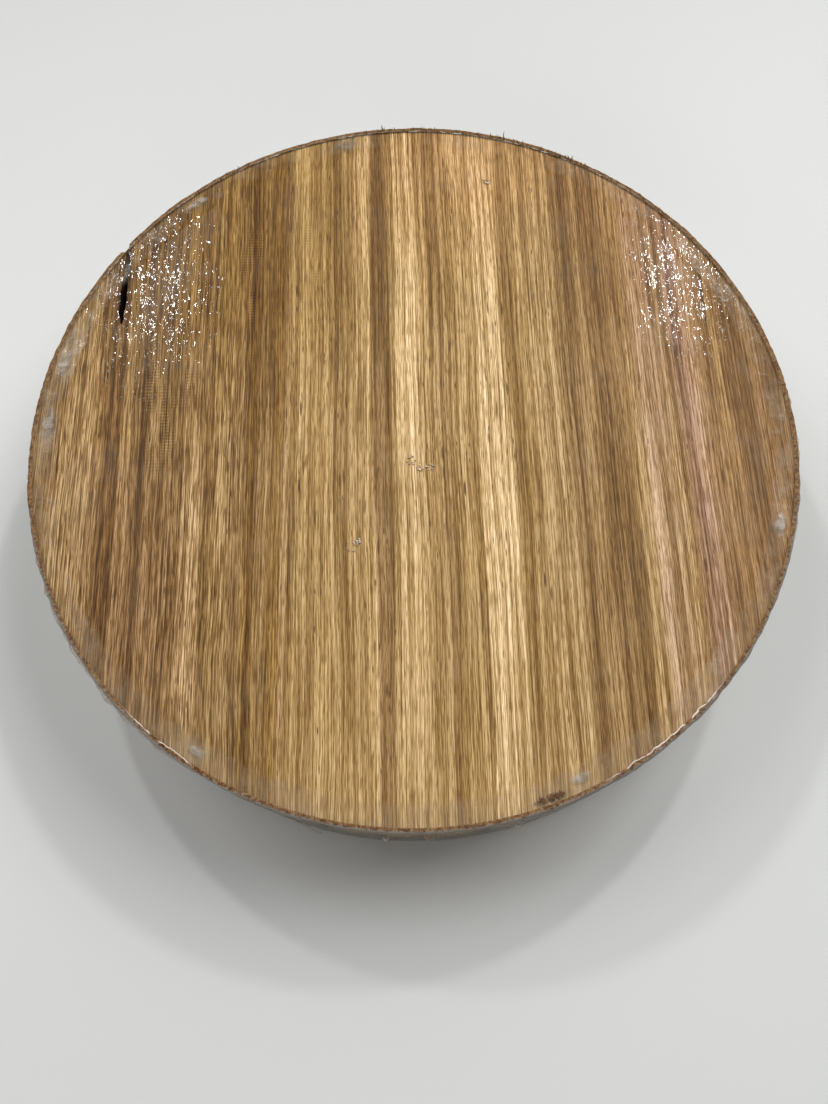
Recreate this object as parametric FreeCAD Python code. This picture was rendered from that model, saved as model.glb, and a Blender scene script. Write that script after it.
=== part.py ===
"""Wax-sealed turning blank: a bandsawn hardwood disc, sealed in wax for seasoning.

Millimetres, +Z up, the grain along Y. The origin is the centre of the underside that the
blank lies on. The timber carries a clear film of wax on each face, and a thicker milky
coat round the rim, which laps over the edges of both faces.
"""

import FreeCAD, Part
import math
import os
import random

# ---------------------------------------------------------------- timber
TIMBER_DIAMETER = 254.0
TIMBER_THICKNESS = 50.8

# ---------------------------------------------------------------- wax coats
TOP_FILM = 0.3          # clear film on the upper face
UNDERSIDE_WAX = 0.8     # the underside set in its own puddle, as thick as the lap
RIM_WALL = 1.3          # milky coat on the sawn edge
LAP_WIDTH = 10.0        # how far the milky coat reaches in over each face
LAP_WAX = 0.8           # its thickness on the upper face
LAP_SLOPE = 1.2         # the lap's inner edge thins out over this width
RIM_ROUND = 1.0         # wax rounds off the outer corners

# ---------------------------------------------------------------- drying crack, from the rim in
CRACK_ANGLE = 142.5     # where it meets the rim, counter-clockwise from +X
CRACK_LENGTH = 32.0
CRACK_WIDTH = 2.0       # at its widest
CRACK_MOUTH = 1.2       # at the rim
CRACK_ROOT = 0.3        # at the bottom of the crack
CRACK_DEPTH = 16.0
CRACK_WIDEST_AT = 0.55  # shares of its length, from the rim
CRACK_CLOSES_AT = 0.82
CRACK_CLOSING = 0.6     # share of its widest that is left there
CRACK_ROOT_REACH = 0.6  # how far in the root goes, as a share of the length
CRACK_TIP_ASIDE = -0.2  # its tip wanders off the line of the grain
NOTCH_RADIUS = 2.6      # piece broken out of the rim where the crack opens

# ---------------------------------------------------------------- wax that ran, dripped and set on the rim
RUN_COUNT = 13
RUN_PROUD = 0.8         # how far a run stands out from the coat, just above its drop
RUN_HEAD_WIDTH = 1.0    # a run starts narrow
RUN_BEAD = 4.2          # diameter of the drop that a run ends in
BEAD_PROUD = 1.2
RUN_LONGEST = 30.0
RUN_SHORTEST = 9.0
RUN_SCATTER = 0.28      # how far a run strays from even spacing, as a share of it
RUN_DROPS = (0.5, 4.0)  # it starts between these depths below the brim

BRIM_PROUD = 1.2        # ledge of wax just below the upper edge
BRIM_HEIGHT = 2.2
BRIM_LIP = 0.5          # its upper and lower faces slope by this much
BRIM_DROP = 0.3         # below the round of the corner
BRIM_ARCS = [(-168.0, 46.0), (-24.0, 41.0)]     # start angle, span

NUB_ANGLE = -89.3
NUB_DIAMETER = 4.4
NUB_PROUD = 1.5
NUB_DROP = 7.0          # below the lap

CURL_ANGLE = -109.6     # a flake of the coat that has peeled, free at one end
CURL_SPAN = 6.2
CURL_STAND_OFF = 2.0
CURL_THICKNESS = 0.45
CURL_HEIGHT = 5.0
CURL_DROP = 5.0
CURL_BENDS = [          # share of its span, share of its stand-off; it starts inside the coat
    (-0.08, -0.3), (0.25, 0.25), (0.6, 0.75), (1.0, 1.0),
]

# ---------------------------------------------------------------- wax and wood lying on the upper side
POOL_HEIGHT = 0.4
POOL_EDGE = 0.25
POOLS = [               # angle, length along the rim, width
    (165.3, 13.0, 5.4), (176.5, 17.0, 6.2), (100.4, 12.0, 6.4), (128.4, 11.0, 4.6),
    (-67.5, 9.0, 4.4), (-17.0, 12.0, 5.2), (-123.4, 8.0, 4.2),
]

CRUMB_HEIGHT_SHARE = 0.4
CRUMBS_NEAR_CENTRE = [  # x, y, diameter
    (-0.6, -9.2, 2.6), (2.2, -12.0, 1.6), (5.6, -11.8, 2.2), (-20.7, -38.4, 3.0), (-18.4, -36.9, 1.4),
]
CRUMB_NEAR_RIM = (73.7, 20.0, 2.0)      # angle, distance in from the timber's edge, diameter

BARK_ANGLE = -72.6
BARK_LENGTH = 11.0
BARK_WIDTH = 3.2
BARK_THICKNESS = 0.7
BARK_SUNK = 0.4
BARK_FROM_EDGE = 3.6    # its centre, in from the outer edge of the wax
BARK_OUTLINE = [        # share of its half length, share of its width
    (-1.0, -0.1), (-0.3, -0.5), (0.55, -0.42), (1.0, 0.05), (0.4, 0.5), (-0.5, 0.36),
]

SPLINTER_WIDTH = 0.9
SPLINTER_THICKNESS = 0.5
SPLINTER_LEAN = 0.35    # how far the tip leans out, as a share of its height
SPLINTER_FROM_EDGE = 1.9
SPLINTER_SLEW = 0.4     # how far the tip leans along the rim, as a share of its height
TALL_SPLINTER_SLEW = 0.15
SPLINTER_GAP = 0.6      # degrees that a tall splinter keeps to itself
SPLINTER_STRETCHES = [  # start angle, end angle, how many, shortest, tallest
    (57.0, 97.0, 24, 0.7, 1.9), (24.0, 55.0, 9, 0.6, 1.4), (116.0, 134.0, 4, 0.6, 1.1),
]
TALL_SPLINTERS = [(72.6, 3.6), (60.5, 2.4), (93.5, 2.6)]     # angle, height

DUST_COUNT = 16
DUST_FROM, DUST_TO = -112.0, -52.0
DUST_LONGEST = 1.3
DUST_FROM_EDGE = 1.8
DUST_LEAN = 0.3
DUST_SLEW = 0.5

# ---------------------------------------------------------------- worked out from the sizes above
TIMBER_RADIUS = TIMBER_DIAMETER / 2
OUTER_RADIUS = TIMBER_RADIUS + RIM_WALL
LAP_INNER_RADIUS = TIMBER_RADIUS - LAP_WIDTH
TIMBER_TOP = UNDERSIDE_WAX + TIMBER_THICKNESS
FILM_TOP = TIMBER_TOP + TOP_FILM
LAP_TOP = TIMBER_TOP + LAP_WAX
LAP_FLAT_INNER = LAP_INNER_RADIUS + LAP_SLOPE
LAP_FLAT_OUTER = OUTER_RADIUS - RIM_ROUND
BRIM_TOP = LAP_TOP - RIM_ROUND - BRIM_DROP
BRIM_BOTTOM = BRIM_TOP - BRIM_HEIGHT

UP = FreeCAD.Vector(0, 0, 1)
ORIGIN = FreeCAD.Vector(0, 0, 0)


def polar(radius, angle, z=0.0):
    """The point at an angle in degrees round the blank."""
    turn = math.radians(angle)
    return FreeCAD.Vector(radius * math.cos(turn), radius * math.sin(turn), z)


def cylinder(radius, bottom, top):
    return Part.makeCylinder(radius, top - bottom, FreeCAD.Vector(0, 0, bottom))


def prism(points, height):
    """A solid that stands on a flat outline, given by points at one height."""
    return Part.Face(Part.makePolygon(points + points[:1])).extrude(UP * height)


def pyramid(base, tip):
    """A closed solid from a base outline, counter-clockwise from above, to one point."""
    ring = list(zip(base, base[1:] + base[:1]))
    faces = [Part.Face(Part.makePolygon([a, b, tip, a])) for a, b in ring]
    faces.append(Part.Face(Part.makePolygon(base + base[:1])))
    solid = Part.Solid(Part.Shell(faces))
    if solid.Volume < 0:
        solid.reverse()
    return solid


def dome(x, y, z, diameter, height):
    """A spherical cap that stands on a level face."""
    ball_radius = (diameter * diameter / 4 + height * height) / (2 * height)
    ball = Part.makeSphere(ball_radius, FreeCAD.Vector(x, y, z + height - ball_radius))
    room = Part.makeBox(diameter + 2, diameter + 2, height + 1,
                        FreeCAD.Vector(x - diameter / 2 - 1, y - diameter / 2 - 1, z))
    return ball.common(room)


def crack_outline(width, mouth, length, z):
    """The crack seen from above: wider part way along, and pointed at its inner end."""
    overrun = 2 * RIM_WALL
    start = polar(TIMBER_RADIUS, CRACK_ANGLE, z)
    rows = [(overrun, mouth), (-CRACK_WIDEST_AT * length, width),
            (-CRACK_CLOSES_AT * length, CRACK_CLOSING * width)]
    right = [start + FreeCAD.Vector(w / 2, along, 0) for along, w in rows]
    left = [start + FreeCAD.Vector(-w / 2, along, 0) for along, w in reversed(rows)]
    tip = start + FreeCAD.Vector(CRACK_TIP_ASIDE, -length, 0)
    points = right + [tip] + left
    return Part.makePolygon(points + points[:1])


def crack_space():
    """The room inside the crack: it narrows with depth, and its root is shorter."""
    above = crack_outline(CRACK_WIDTH, CRACK_MOUTH, CRACK_LENGTH, LAP_TOP + 1)
    root = crack_outline(CRACK_ROOT, CRACK_ROOT, CRACK_ROOT_REACH * CRACK_LENGTH, TIMBER_TOP - CRACK_DEPTH)
    return Part.makeLoft([above, root], True, True)


def notch_space():
    return Part.makeSphere(NOTCH_RADIUS, polar(OUTER_RADIUS, CRACK_ANGLE, LAP_TOP))


def timber_disc():
    blank = cylinder(TIMBER_RADIUS, UNDERSIDE_WAX, TIMBER_TOP)
    return blank.cut(crack_space()).cut(notch_space())


def top_wax_film():
    """The film parts along the crack, which it is too thin to bridge."""
    return cylinder(LAP_INNER_RADIUS, TIMBER_TOP, FILM_TOP).cut(crack_space())


def bottom_wax_film():
    return cylinder(LAP_INNER_RADIUS, 0, UNDERSIDE_WAX)


def band_section():
    """Half section of the milky coat: a channel that holds the rim of the timber."""
    def at(r, z):
        return FreeCAD.Vector(r, 0, z)

    def line(a, b):
        return Part.LineSegment(a, b).toShape()

    def corner(centre_r, centre_z, start):
        turns = [math.radians(start + swing) for swing in (0, 45, 90)]
        return Part.Arc(*[at(centre_r + RIM_ROUND * math.cos(turn), centre_z + RIM_ROUND * math.sin(turn))
                          for turn in turns]).toShape()

    flat, low, high = LAP_FLAT_OUTER, RIM_ROUND, LAP_TOP - RIM_ROUND
    edges = [
        line(at(LAP_INNER_RADIUS, 0), at(flat, 0)),
        corner(flat, low, -90),
        line(at(OUTER_RADIUS, low), at(OUTER_RADIUS, high)),
        corner(flat, high, 0),
        line(at(flat, LAP_TOP), at(LAP_FLAT_INNER, LAP_TOP)),
        line(at(LAP_FLAT_INNER, LAP_TOP), at(LAP_INNER_RADIUS, FILM_TOP)),
        line(at(LAP_INNER_RADIUS, FILM_TOP), at(LAP_INNER_RADIUS, TIMBER_TOP)),
        line(at(LAP_INNER_RADIUS, TIMBER_TOP), at(TIMBER_RADIUS, TIMBER_TOP)),
        line(at(TIMBER_RADIUS, TIMBER_TOP), at(TIMBER_RADIUS, UNDERSIDE_WAX)),
        line(at(TIMBER_RADIUS, UNDERSIDE_WAX), at(LAP_INNER_RADIUS, UNDERSIDE_WAX)),
        line(at(LAP_INNER_RADIUS, UNDERSIDE_WAX), at(LAP_INNER_RADIUS, 0)),
    ]
    return Part.Face(Part.Wire(edges))


def rim_wax_band():
    band = band_section().revolve(ORIGIN, UP, 360)
    return band.cut(notch_space()).cut(bark_fleck())


def set_on_rim(shape, angle):
    """Sets wax on the sawn edge: the shape, drawn at angle 0, is kept where it stands out past a
    flat back that touches the milky coat, and turned to its angle."""
    inside = Part.makeBox(OUTER_RADIUS, 2 * OUTER_RADIUS, 2 * LAP_TOP,
                          FreeCAD.Vector(0, -OUTER_RADIUS, -LAP_TOP / 2))
    kept = shape.cut(inside).Solids[0]
    kept.rotate(ORIGIN, UP, angle)
    return kept


def wax_run(angle, head_z, length):
    """A run of wax: it starts thin in the coat, widens, and ends in the drop that set last."""
    ball = RUN_BEAD / 2
    axis_radius = OUTER_RADIUS + BEAD_PROUD - ball
    foot = RUN_PROUD + OUTER_RADIUS - axis_radius
    neck = math.sqrt(ball * ball - foot * foot)
    corners = [FreeCAD.Vector(r, 0, z) for r, z in
               ((0, -ball), (0, length), (RUN_HEAD_WIDTH / 2, length), (foot, neck), (ball, 0))]
    outline = [Part.LineSegment(a, b).toShape() for a, b in zip(corners[:3], corners[1:4])]
    outline.append(Part.Arc(corners[3], corners[4], corners[0]).toShape())
    teardrop = Part.Face(Part.Wire(outline)).revolve(ORIGIN, UP, 360)
    teardrop.translate(FreeCAD.Vector(axis_radius, 0, head_z - length))
    return set_on_rim(teardrop, angle)


def wax_runs():
    dice = random.Random(11)
    step = 360.0 / RUN_COUNT
    runs = []
    for i in range(RUN_COUNT):
        angle = NUB_ANGLE + (i + 0.5) * step + dice.uniform(-RUN_SCATTER, RUN_SCATTER) * step
        length = dice.uniform(RUN_SHORTEST, RUN_LONGEST)
        runs.append(wax_run(angle, BRIM_BOTTOM - dice.uniform(*RUN_DROPS), length))
    return runs


def wax_brim():
    """Ledges of wax on the sawn edge, each a stretch of one section turned about Z."""
    def at(r, z):
        return FreeCAD.Vector(r, 0, z)

    nose = OUTER_RADIUS + BRIM_PROUD
    outline = [at(OUTER_RADIUS, BRIM_BOTTOM), at(nose, BRIM_BOTTOM + BRIM_LIP),
               at(nose, BRIM_TOP - BRIM_LIP), at(OUTER_RADIUS, BRIM_TOP)]
    section = Part.Face(Part.makePolygon(outline + outline[:1]))
    ledges = []
    for start, span in BRIM_ARCS:
        turned = section.copy()
        turned.rotate(ORIGIN, UP, start)
        ledges.append(turned.revolve(ORIGIN, UP, span))
    return ledges


def wax_nub():
    centre = FreeCAD.Vector(OUTER_RADIUS + NUB_PROUD - NUB_DIAMETER / 2, 0, LAP_TOP - NUB_DROP)
    return set_on_rim(Part.makeSphere(NUB_DIAMETER / 2, centre), NUB_ANGLE)


def wax_curl():
    """A peeled flake: it leaves the coat at one end and stands clear of it at the other."""
    z = LAP_TOP - CURL_DROP - CURL_HEIGHT
    inner = [polar(OUTER_RADIUS + out * CURL_STAND_OFF, CURL_ANGLE + share * CURL_SPAN, z)
             for share, out in CURL_BENDS]
    outer = [polar(OUTER_RADIUS + out * CURL_STAND_OFF + CURL_THICKNESS, CURL_ANGLE + share * CURL_SPAN, z)
             for share, out in reversed(CURL_BENDS)]
    return prism(inner + outer, CURL_HEIGHT).cut(cylinder(OUTER_RADIUS, 0, LAP_TOP))


def wax_pools():
    """Milky puddles on the lap, each a short curved pad with round ends and a soft edge."""
    middle = (LAP_FLAT_INNER + LAP_FLAT_OUTER) / 2
    pads = []
    for angle, length, width in POOLS:
        half = width / 2
        swing = math.degrees((length / 2 - half) / middle)
        a, b = angle - swing, angle + swing
        past_a = angle - math.degrees(length / 2 / middle)
        past_b = angle + math.degrees(length / 2 / middle)

        def arc(*stops):
            return Part.Arc(*[polar(r, turn, LAP_TOP) for r, turn in stops]).toShape()

        edges = [
            arc((middle + half, a), (middle + half, angle), (middle + half, b)),
            arc((middle + half, b), (middle, past_b), (middle - half, b)),
            arc((middle - half, b), (middle - half, angle), (middle - half, a)),
            arc((middle - half, a), (middle, past_a), (middle + half, a)),
        ]
        pad = Part.Face(Part.Wire(edges)).extrude(UP * POOL_HEIGHT)
        upper = [edge for edge in pad.Edges if edge.BoundBox.ZMin > LAP_TOP + POOL_HEIGHT / 2]
        pads.append(pad.makeChamfer(POOL_EDGE, upper))
    return pads


def wax_crumbs():
    crumbs = [dome(x, y, FILM_TOP, d, CRUMB_HEIGHT_SHARE * d) for x, y, d in CRUMBS_NEAR_CENTRE]
    angle, inset, diameter = CRUMB_NEAR_RIM
    spot = polar(TIMBER_RADIUS - inset, angle)
    crumbs.append(dome(spot.x, spot.y, FILM_TOP, diameter, CRUMB_HEIGHT_SHARE * diameter))
    return crumbs


def bark_fleck():
    """A sliver of bark, half sunk in the lap, its length along the rim."""
    z = LAP_TOP - BARK_SUNK
    half_turn = math.degrees(BARK_LENGTH / 2 / OUTER_RADIUS)
    middle = OUTER_RADIUS - BARK_FROM_EDGE
    points = [polar(middle + out * BARK_WIDTH, BARK_ANGLE + along * half_turn, z)
              for along, out in BARK_OUTLINE]
    return prism(points, BARK_THICKNESS)


def sliver(angle, from_edge, width, thickness, height, lean_out, lean_along):
    """A torn fibre that stands on the lap: a thin four-sided spike."""
    foot = polar(OUTER_RADIUS - from_edge, angle, LAP_TOP)
    outwards = polar(1, angle)
    along = polar(1, angle + 90)
    corners = [(-1, -1), (1, -1), (1, 1), (-1, 1)]
    base = [foot + outwards * (out * thickness / 2) + along * (side * width / 2) for out, side in corners]
    tip = foot + UP * height + outwards * (lean_out * height) + along * (lean_along * height)
    return pyramid(base, tip)


def saw_splinters():
    dice = random.Random(5)
    spikes = []
    for first, last, count, shortest, tallest in SPLINTER_STRETCHES:
        step = (last - first) / count
        for i in range(count):
            angle = first + (i + dice.uniform(0.25, 0.75)) * step
            if min(abs(angle - other) for other, _ in TALL_SPLINTERS) < SPLINTER_GAP:
                continue
            spikes.append(sliver(angle, SPLINTER_FROM_EDGE, SPLINTER_WIDTH * dice.uniform(0.5, 1.0),
                                 SPLINTER_THICKNESS, dice.uniform(shortest, tallest), SPLINTER_LEAN,
                                 dice.uniform(-SPLINTER_SLEW, SPLINTER_SLEW)))
    for angle, height in TALL_SPLINTERS:
        spikes.append(sliver(angle, SPLINTER_FROM_EDGE, SPLINTER_WIDTH, SPLINTER_THICKNESS, height,
                             SPLINTER_LEAN, TALL_SPLINTER_SLEW))
    return spikes


def sawdust_grains():
    """Chips of sawdust that the lap caught along one side, clear of the bark and the pools."""
    dice = random.Random(3)
    kept_clear = [(BARK_ANGLE, BARK_LENGTH)] + [(angle, length) for angle, length, _ in POOLS]
    step = (DUST_TO - DUST_FROM) / DUST_COUNT
    grains = []
    for i in range(DUST_COUNT):
        angle = DUST_FROM + (i + dice.uniform(0.2, 0.8)) * step
        long_way = DUST_LONGEST * dice.uniform(0.5, 1.0)
        clear = all(abs(angle - other) > math.degrees((length / 2 + DUST_LONGEST) / OUTER_RADIUS)
                    for other, length in kept_clear)
        if clear:
            grains.append(sliver(angle, DUST_FROM_EDGE, long_way, long_way / 2, long_way / 3, DUST_LEAN,
                                 dice.uniform(-DUST_SLEW, DUST_SLEW)))
    return grains


PIECES = {
    "timber_disc": timber_disc,
    "top_wax_film": top_wax_film,
    "bottom_wax_film": bottom_wax_film,
    "rim_wax_band": rim_wax_band,
    "wax_runs": wax_runs,
    "wax_brim": wax_brim,
    "wax_nub": wax_nub,
    "wax_curl": wax_curl,
    "wax_pools": wax_pools,
    "wax_crumbs": wax_crumbs,
    "bark_fleck": bark_fleck,
    "saw_splinters": saw_splinters,
    "sawdust_grains": sawdust_grains,
}


def main():
    os.makedirs("parts", exist_ok=True)
    for name, make in PIECES.items():
        made = make()
        shape = Part.makeCompound(made) if isinstance(made, list) else made
        shape.exportStep("parts/" + name + ".step")
        print(name, len(shape.Solids), "solid(s),", round(shape.Volume, 1), "mm3, valid", shape.isValid())


main()
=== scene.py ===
"""A wax-sealed turning blank: ribbon-striped hardwood under clear wax, with a milky coat round its rim.

Metres, +Z up, the grain along Y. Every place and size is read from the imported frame. Materials
work in millimetres, because wood and wax have their detail at that scale.
"""

import logging
import math
from dataclasses import dataclass, field
from enum import Enum
from typing import Callable, Sequence

import bmesh
import bpy
import numpy as np
from mathutils import Matrix, Vector


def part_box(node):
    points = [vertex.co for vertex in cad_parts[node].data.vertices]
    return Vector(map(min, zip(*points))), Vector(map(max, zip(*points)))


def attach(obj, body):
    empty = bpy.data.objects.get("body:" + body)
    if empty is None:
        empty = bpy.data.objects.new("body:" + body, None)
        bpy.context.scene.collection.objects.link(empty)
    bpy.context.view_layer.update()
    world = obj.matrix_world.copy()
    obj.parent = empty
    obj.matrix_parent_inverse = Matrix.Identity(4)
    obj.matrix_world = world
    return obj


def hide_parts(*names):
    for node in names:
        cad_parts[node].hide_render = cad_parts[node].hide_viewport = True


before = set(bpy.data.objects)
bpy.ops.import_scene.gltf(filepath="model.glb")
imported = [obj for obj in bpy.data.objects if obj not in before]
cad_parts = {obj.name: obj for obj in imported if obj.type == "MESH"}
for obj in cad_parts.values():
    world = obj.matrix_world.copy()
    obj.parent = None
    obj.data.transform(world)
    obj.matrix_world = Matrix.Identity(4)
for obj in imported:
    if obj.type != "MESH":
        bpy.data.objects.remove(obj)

log = logging.getLogger("blank")
MM = 0.001
BODY = "root"
Colour = tuple[float, float, float, float]
Skin = tuple[list[Vector], list[tuple[int, ...]]]


# ------------------------------------------------------------------ colours and named choices
class Tone(Enum):
    """Colours of the wood and the wax, as they look in daylight."""

    CREAM = "#caa877"
    STRAW = "#bd9b69"
    WHEAT = "#af8d5a"
    HONEY = "#a38150"
    TAN = "#977548"
    NUT = "#8a693e"
    UMBER = "#7a5931"
    GOLD = "#835f29"
    ROSE = "#ab8965"
    MAUVE = "#946f53"
    PORE = "#4a2f17"
    LINE = "#6b4a26"
    # near-black painted shade for the walls of the crack and of the notch at its mouth
    CHAR = "#080504"
    SOOT = "#1c120b"
    EDGE = "#6c4523"
    FIBRE = "#c09f6c"
    WAX = "#cfc9bf"
    # white of the wax crumbs, and also the colour of the painted highlight line on the rim's near edge
    CHALK = "#fbf1e6"
    HAZE = "#c4ad8d"
    GREY_WAX = "#857e73"
    FLOOR = "#e0e1df"
    # darker floor tone: painted shade towards the far side
    FAR_FLOOR = "#c8c9c7"

    @property
    def rgba(self) -> Colour:
        """The colour in linear light.

        Returns:
            Its red, green, blue and alpha.
        """
        parts = (int(self.value[i:i + 2], 16) / 255 for i in (1, 3, 5))
        r, g, b = ((c / 12.92) if c < 0.04045 else ((c + 0.055) / 1.055) ** 2.4 for c in parts)
        return (r, g, b, 1.0)


Stop = tuple[float, Tone]
Feed = bpy.types.NodeSocket | Tone | float | Sequence[float]


class Slot(Enum):
    """The record's material slots."""

    TIMBER = "timber"
    TORN_FIBRE = "torn_fibre"
    BARK = "bark"
    CLEAR_WAX = "clear_wax"
    MILKY_WAX = "milky_wax"
    WHITE_WAX = "white_wax"


# ------------------------------------------------------------------ the blank's sizes, from the frame
@dataclass(frozen=True)
class Blank:
    """Sizes of the sealed blank in metres.

    Args:
        timber_radius: the wood's radius.
        timber_bottom: height of the wood's underside.
        timber_top: height of its upper face.
        film_radius: how far the clear film reaches.
        film_top: height of the clear film's surface.
        coat_radius: radius over the milky coat.
        lap_top: height of the milky coat's lap.
    """

    timber_radius: float
    timber_bottom: float
    timber_top: float
    film_radius: float
    film_top: float
    coat_radius: float
    lap_top: float

    @classmethod
    def from_frame(cls) -> "Blank":
        """Reads the sizes off the CAD nodes' boxes.

        Returns:
            The blank's sizes.
        """
        timber_low, timber_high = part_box("timber_disc")
        film_low, film_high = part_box("top_wax_film")
        coat_low, coat_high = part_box("rim_wax_band")
        return cls(
            timber_radius=timber_high.x,
            timber_bottom=timber_low.z,
            timber_top=timber_high.z,
            film_radius=film_high.x,
            film_top=film_high.z,
            coat_radius=coat_high.x,
            lap_top=coat_high.z,
        )


@dataclass(frozen=True)
class Lump:
    """One solid of a CAD node: its corners in metres, its place round the rim and its tip.

    Args:
        low: lowest corner.
        high: highest corner.
        angle: the middle's angle round Z, in radians.
        sweep: the angle that it covers.
        inner: its least distance from Z.
        outer: its greatest distance from Z.
        tip: its highest point.
    """

    low: Vector
    high: Vector
    angle: float
    sweep: float
    inner: float
    outer: float
    tip: Vector

    @property
    def centre(self) -> Vector:
        """The middle of its box."""
        return (self.low + self.high) / 2

    @property
    def radius(self) -> float:
        """The middle of its reach from Z."""
        return (self.inner + self.outer) / 2


def lumps(node: str) -> list[Lump]:
    """The separate solids of a CAD node, in order round the blank.

    Args:
        node: the CAD node's name.

    Returns:
        One Lump for each solid.
    """
    mesh = bmesh.new()
    mesh.from_mesh(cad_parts[node].data)
    bmesh.ops.remove_doubles(mesh, verts=mesh.verts, dist=1e-6)
    waiting = set(mesh.verts)
    found: list[Lump] = []
    while waiting:
        island = {waiting.pop()}
        edge = list(island)
        while edge:
            for link in edge.pop().link_edges:
                for vertex in link.verts:
                    if vertex in waiting:
                        waiting.discard(vertex)
                        island.add(vertex)
                        edge.append(vertex)
        points = [vertex.co.copy() for vertex in island]
        low = Vector(min(p[i] for p in points) for i in range(3))
        high = Vector(max(p[i] for p in points) for i in range(3))
        middle = (low + high) / 2
        heading = math.atan2(middle.y, middle.x)
        swings = [math.remainder(math.atan2(p.y, p.x) - heading, math.tau) for p in points]
        reach = [p.xy.length for p in points]
        found.append(Lump(low, high, heading + (min(swings) + max(swings)) / 2, max(swings) - min(swings),
                          min(reach), max(reach), max(points, key=lambda p: (round(p.z, 6), p.x, p.y))))
    mesh.free()
    return sorted(found, key=lambda lump: (round(lump.angle, 5), lump.low.z))


# ------------------------------------------------------------------ mesh helpers
def polar(radius: float, angle: float, z: float = 0.0) -> Vector:
    """The point at a distance from Z and an angle round it."""
    return Vector((radius * math.cos(angle), radius * math.sin(angle), z))


def waves(points: np.ndarray, seed: int, size: float, count: int = 28, spread: float = 0.5) -> np.ndarray:
    """Smooth random relief, as a sum of sine waves.

    Args:
        points: places, one to a row, in metres.
        seed: picks the pattern.
        size: the usual distance from crest to crest, in metres.
        count: how many waves are added up.
        spread: how much their sizes differ.

    Returns:
        A height for each point, most of them from -1 to 1.
    """
    dice = np.random.default_rng(seed)
    width = points.shape[1]
    heading = dice.normal(size=(count, width))
    heading /= np.linalg.norm(heading, axis=1, keepdims=True)
    length = size * np.exp(dice.uniform(-spread, spread, size=(count, 1)))
    phase = dice.uniform(0, math.tau, size=count)
    total = np.sin(points @ (heading / length * math.tau).T + phase).sum(axis=1)
    return total / math.sqrt(count / 2) / 1.6


def new_piece(name: str, points: Sequence[Sequence[float]], faces: Sequence[Sequence[int]],
              materials: Sequence[bpy.types.Material], smooth: bool = True) -> bpy.types.Object:
    """A mesh object from points and faces, linked to the scene.

    Args:
        name: the piece's name.
        points: its corners, in metres.
        faces: corner numbers, counter-clockwise from outside.
        materials: one for each material slot.
        smooth: whether its faces shade as one surface.

    Returns:
        The new object.
    """
    mesh = bpy.data.meshes.new(name)
    mesh.from_pydata([tuple(p) for p in points], [], faces)
    mesh.validate()
    for material in materials:
        mesh.materials.append(material)
    mesh.polygons.foreach_set("use_smooth", [smooth] * len(mesh.polygons))
    piece = bpy.data.objects.new(name, mesh)
    bpy.context.scene.collection.objects.link(piece)
    return piece


def face_outwards(piece: bpy.types.Object) -> None:
    """Turns every face of a closed piece to point out of it.

    Args:
        piece: the piece to put right.
    """
    mesh = bmesh.new()
    mesh.from_mesh(piece.data)
    bmesh.ops.recalc_face_normals(mesh, faces=mesh.faces)
    mesh.to_mesh(piece.data)
    mesh.free()


def carve(piece: bpy.types.Object, tool: bpy.types.Object) -> None:
    """Cuts a closed tool out of a closed piece, and keeps the tool's material on the cut.

    Args:
        piece: the piece to cut.
        tool: the room to cut out of it.
    """
    cut = piece.modifiers.new("carve", "BOOLEAN")
    cut.object = tool
    cut.operation = "DIFFERENCE"
    cut.solver = "EXACT"
    cut.material_mode = "TRANSFER"
    bpy.context.view_layer.update()
    carved = bpy.data.meshes.new_from_object(piece.evaluated_get(bpy.context.evaluated_depsgraph_get()))
    piece.modifiers.clear()
    old = piece.data
    piece.data = carved
    bpy.data.meshes.remove(old)
    piece.data.set_sharp_from_angle(angle=math.radians(48))


def discard(piece: bpy.types.Object) -> None:
    """Deletes a tool that isn't a piece of the object."""
    bpy.data.objects.remove(piece, do_unlink=True)


def seat(piece: bpy.types.Object, slot: Slot, *nodes: str) -> bpy.types.Object:
    """Fastens a piece to the frame in place of its CAD nodes, and reports it.

    Args:
        piece: the finished object.
        slot: the record's material slot that it follows; not used.
        nodes: the CAD nodes that it stands for.

    Returns:
        The same object.
    """
    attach(piece, BODY)
    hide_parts(*nodes)
    log.info("%s: %d faces, for %s", piece.name, len(piece.data.polygons), ", ".join(nodes))
    return piece


def disc_grid(radius: float, cells: int) -> tuple[np.ndarray, list[tuple[int, ...]], list[int]]:
    """A round sheet of four-sided faces, like a square grid pushed out to a circle.

    Args:
        radius: the sheet's radius.
        cells: faces along each side of the square.

    Returns:
        Its points in X and Y, its faces, and the point numbers round its edge.
    """
    steps = np.linspace(-1, 1, cells + 1)
    u, v = np.meshgrid(steps, steps, indexing="ij")
    x = radius * u * np.sqrt(1 - v * v / 2)
    y = radius * v * np.sqrt(1 - u * u / 2)
    side = cells + 1
    faces = [(i * side + j, (i + 1) * side + j, (i + 1) * side + j + 1, i * side + j + 1)
             for i in range(cells) for j in range(cells)]
    edge = [i * side for i in range(cells)] + [cells * side + j for j in range(cells)]
    edge += [i * side + cells for i in range(cells, 0, -1)] + list(range(cells, 0, -1))
    return np.column_stack([x.ravel(), y.ravel()]), faces, edge


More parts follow.
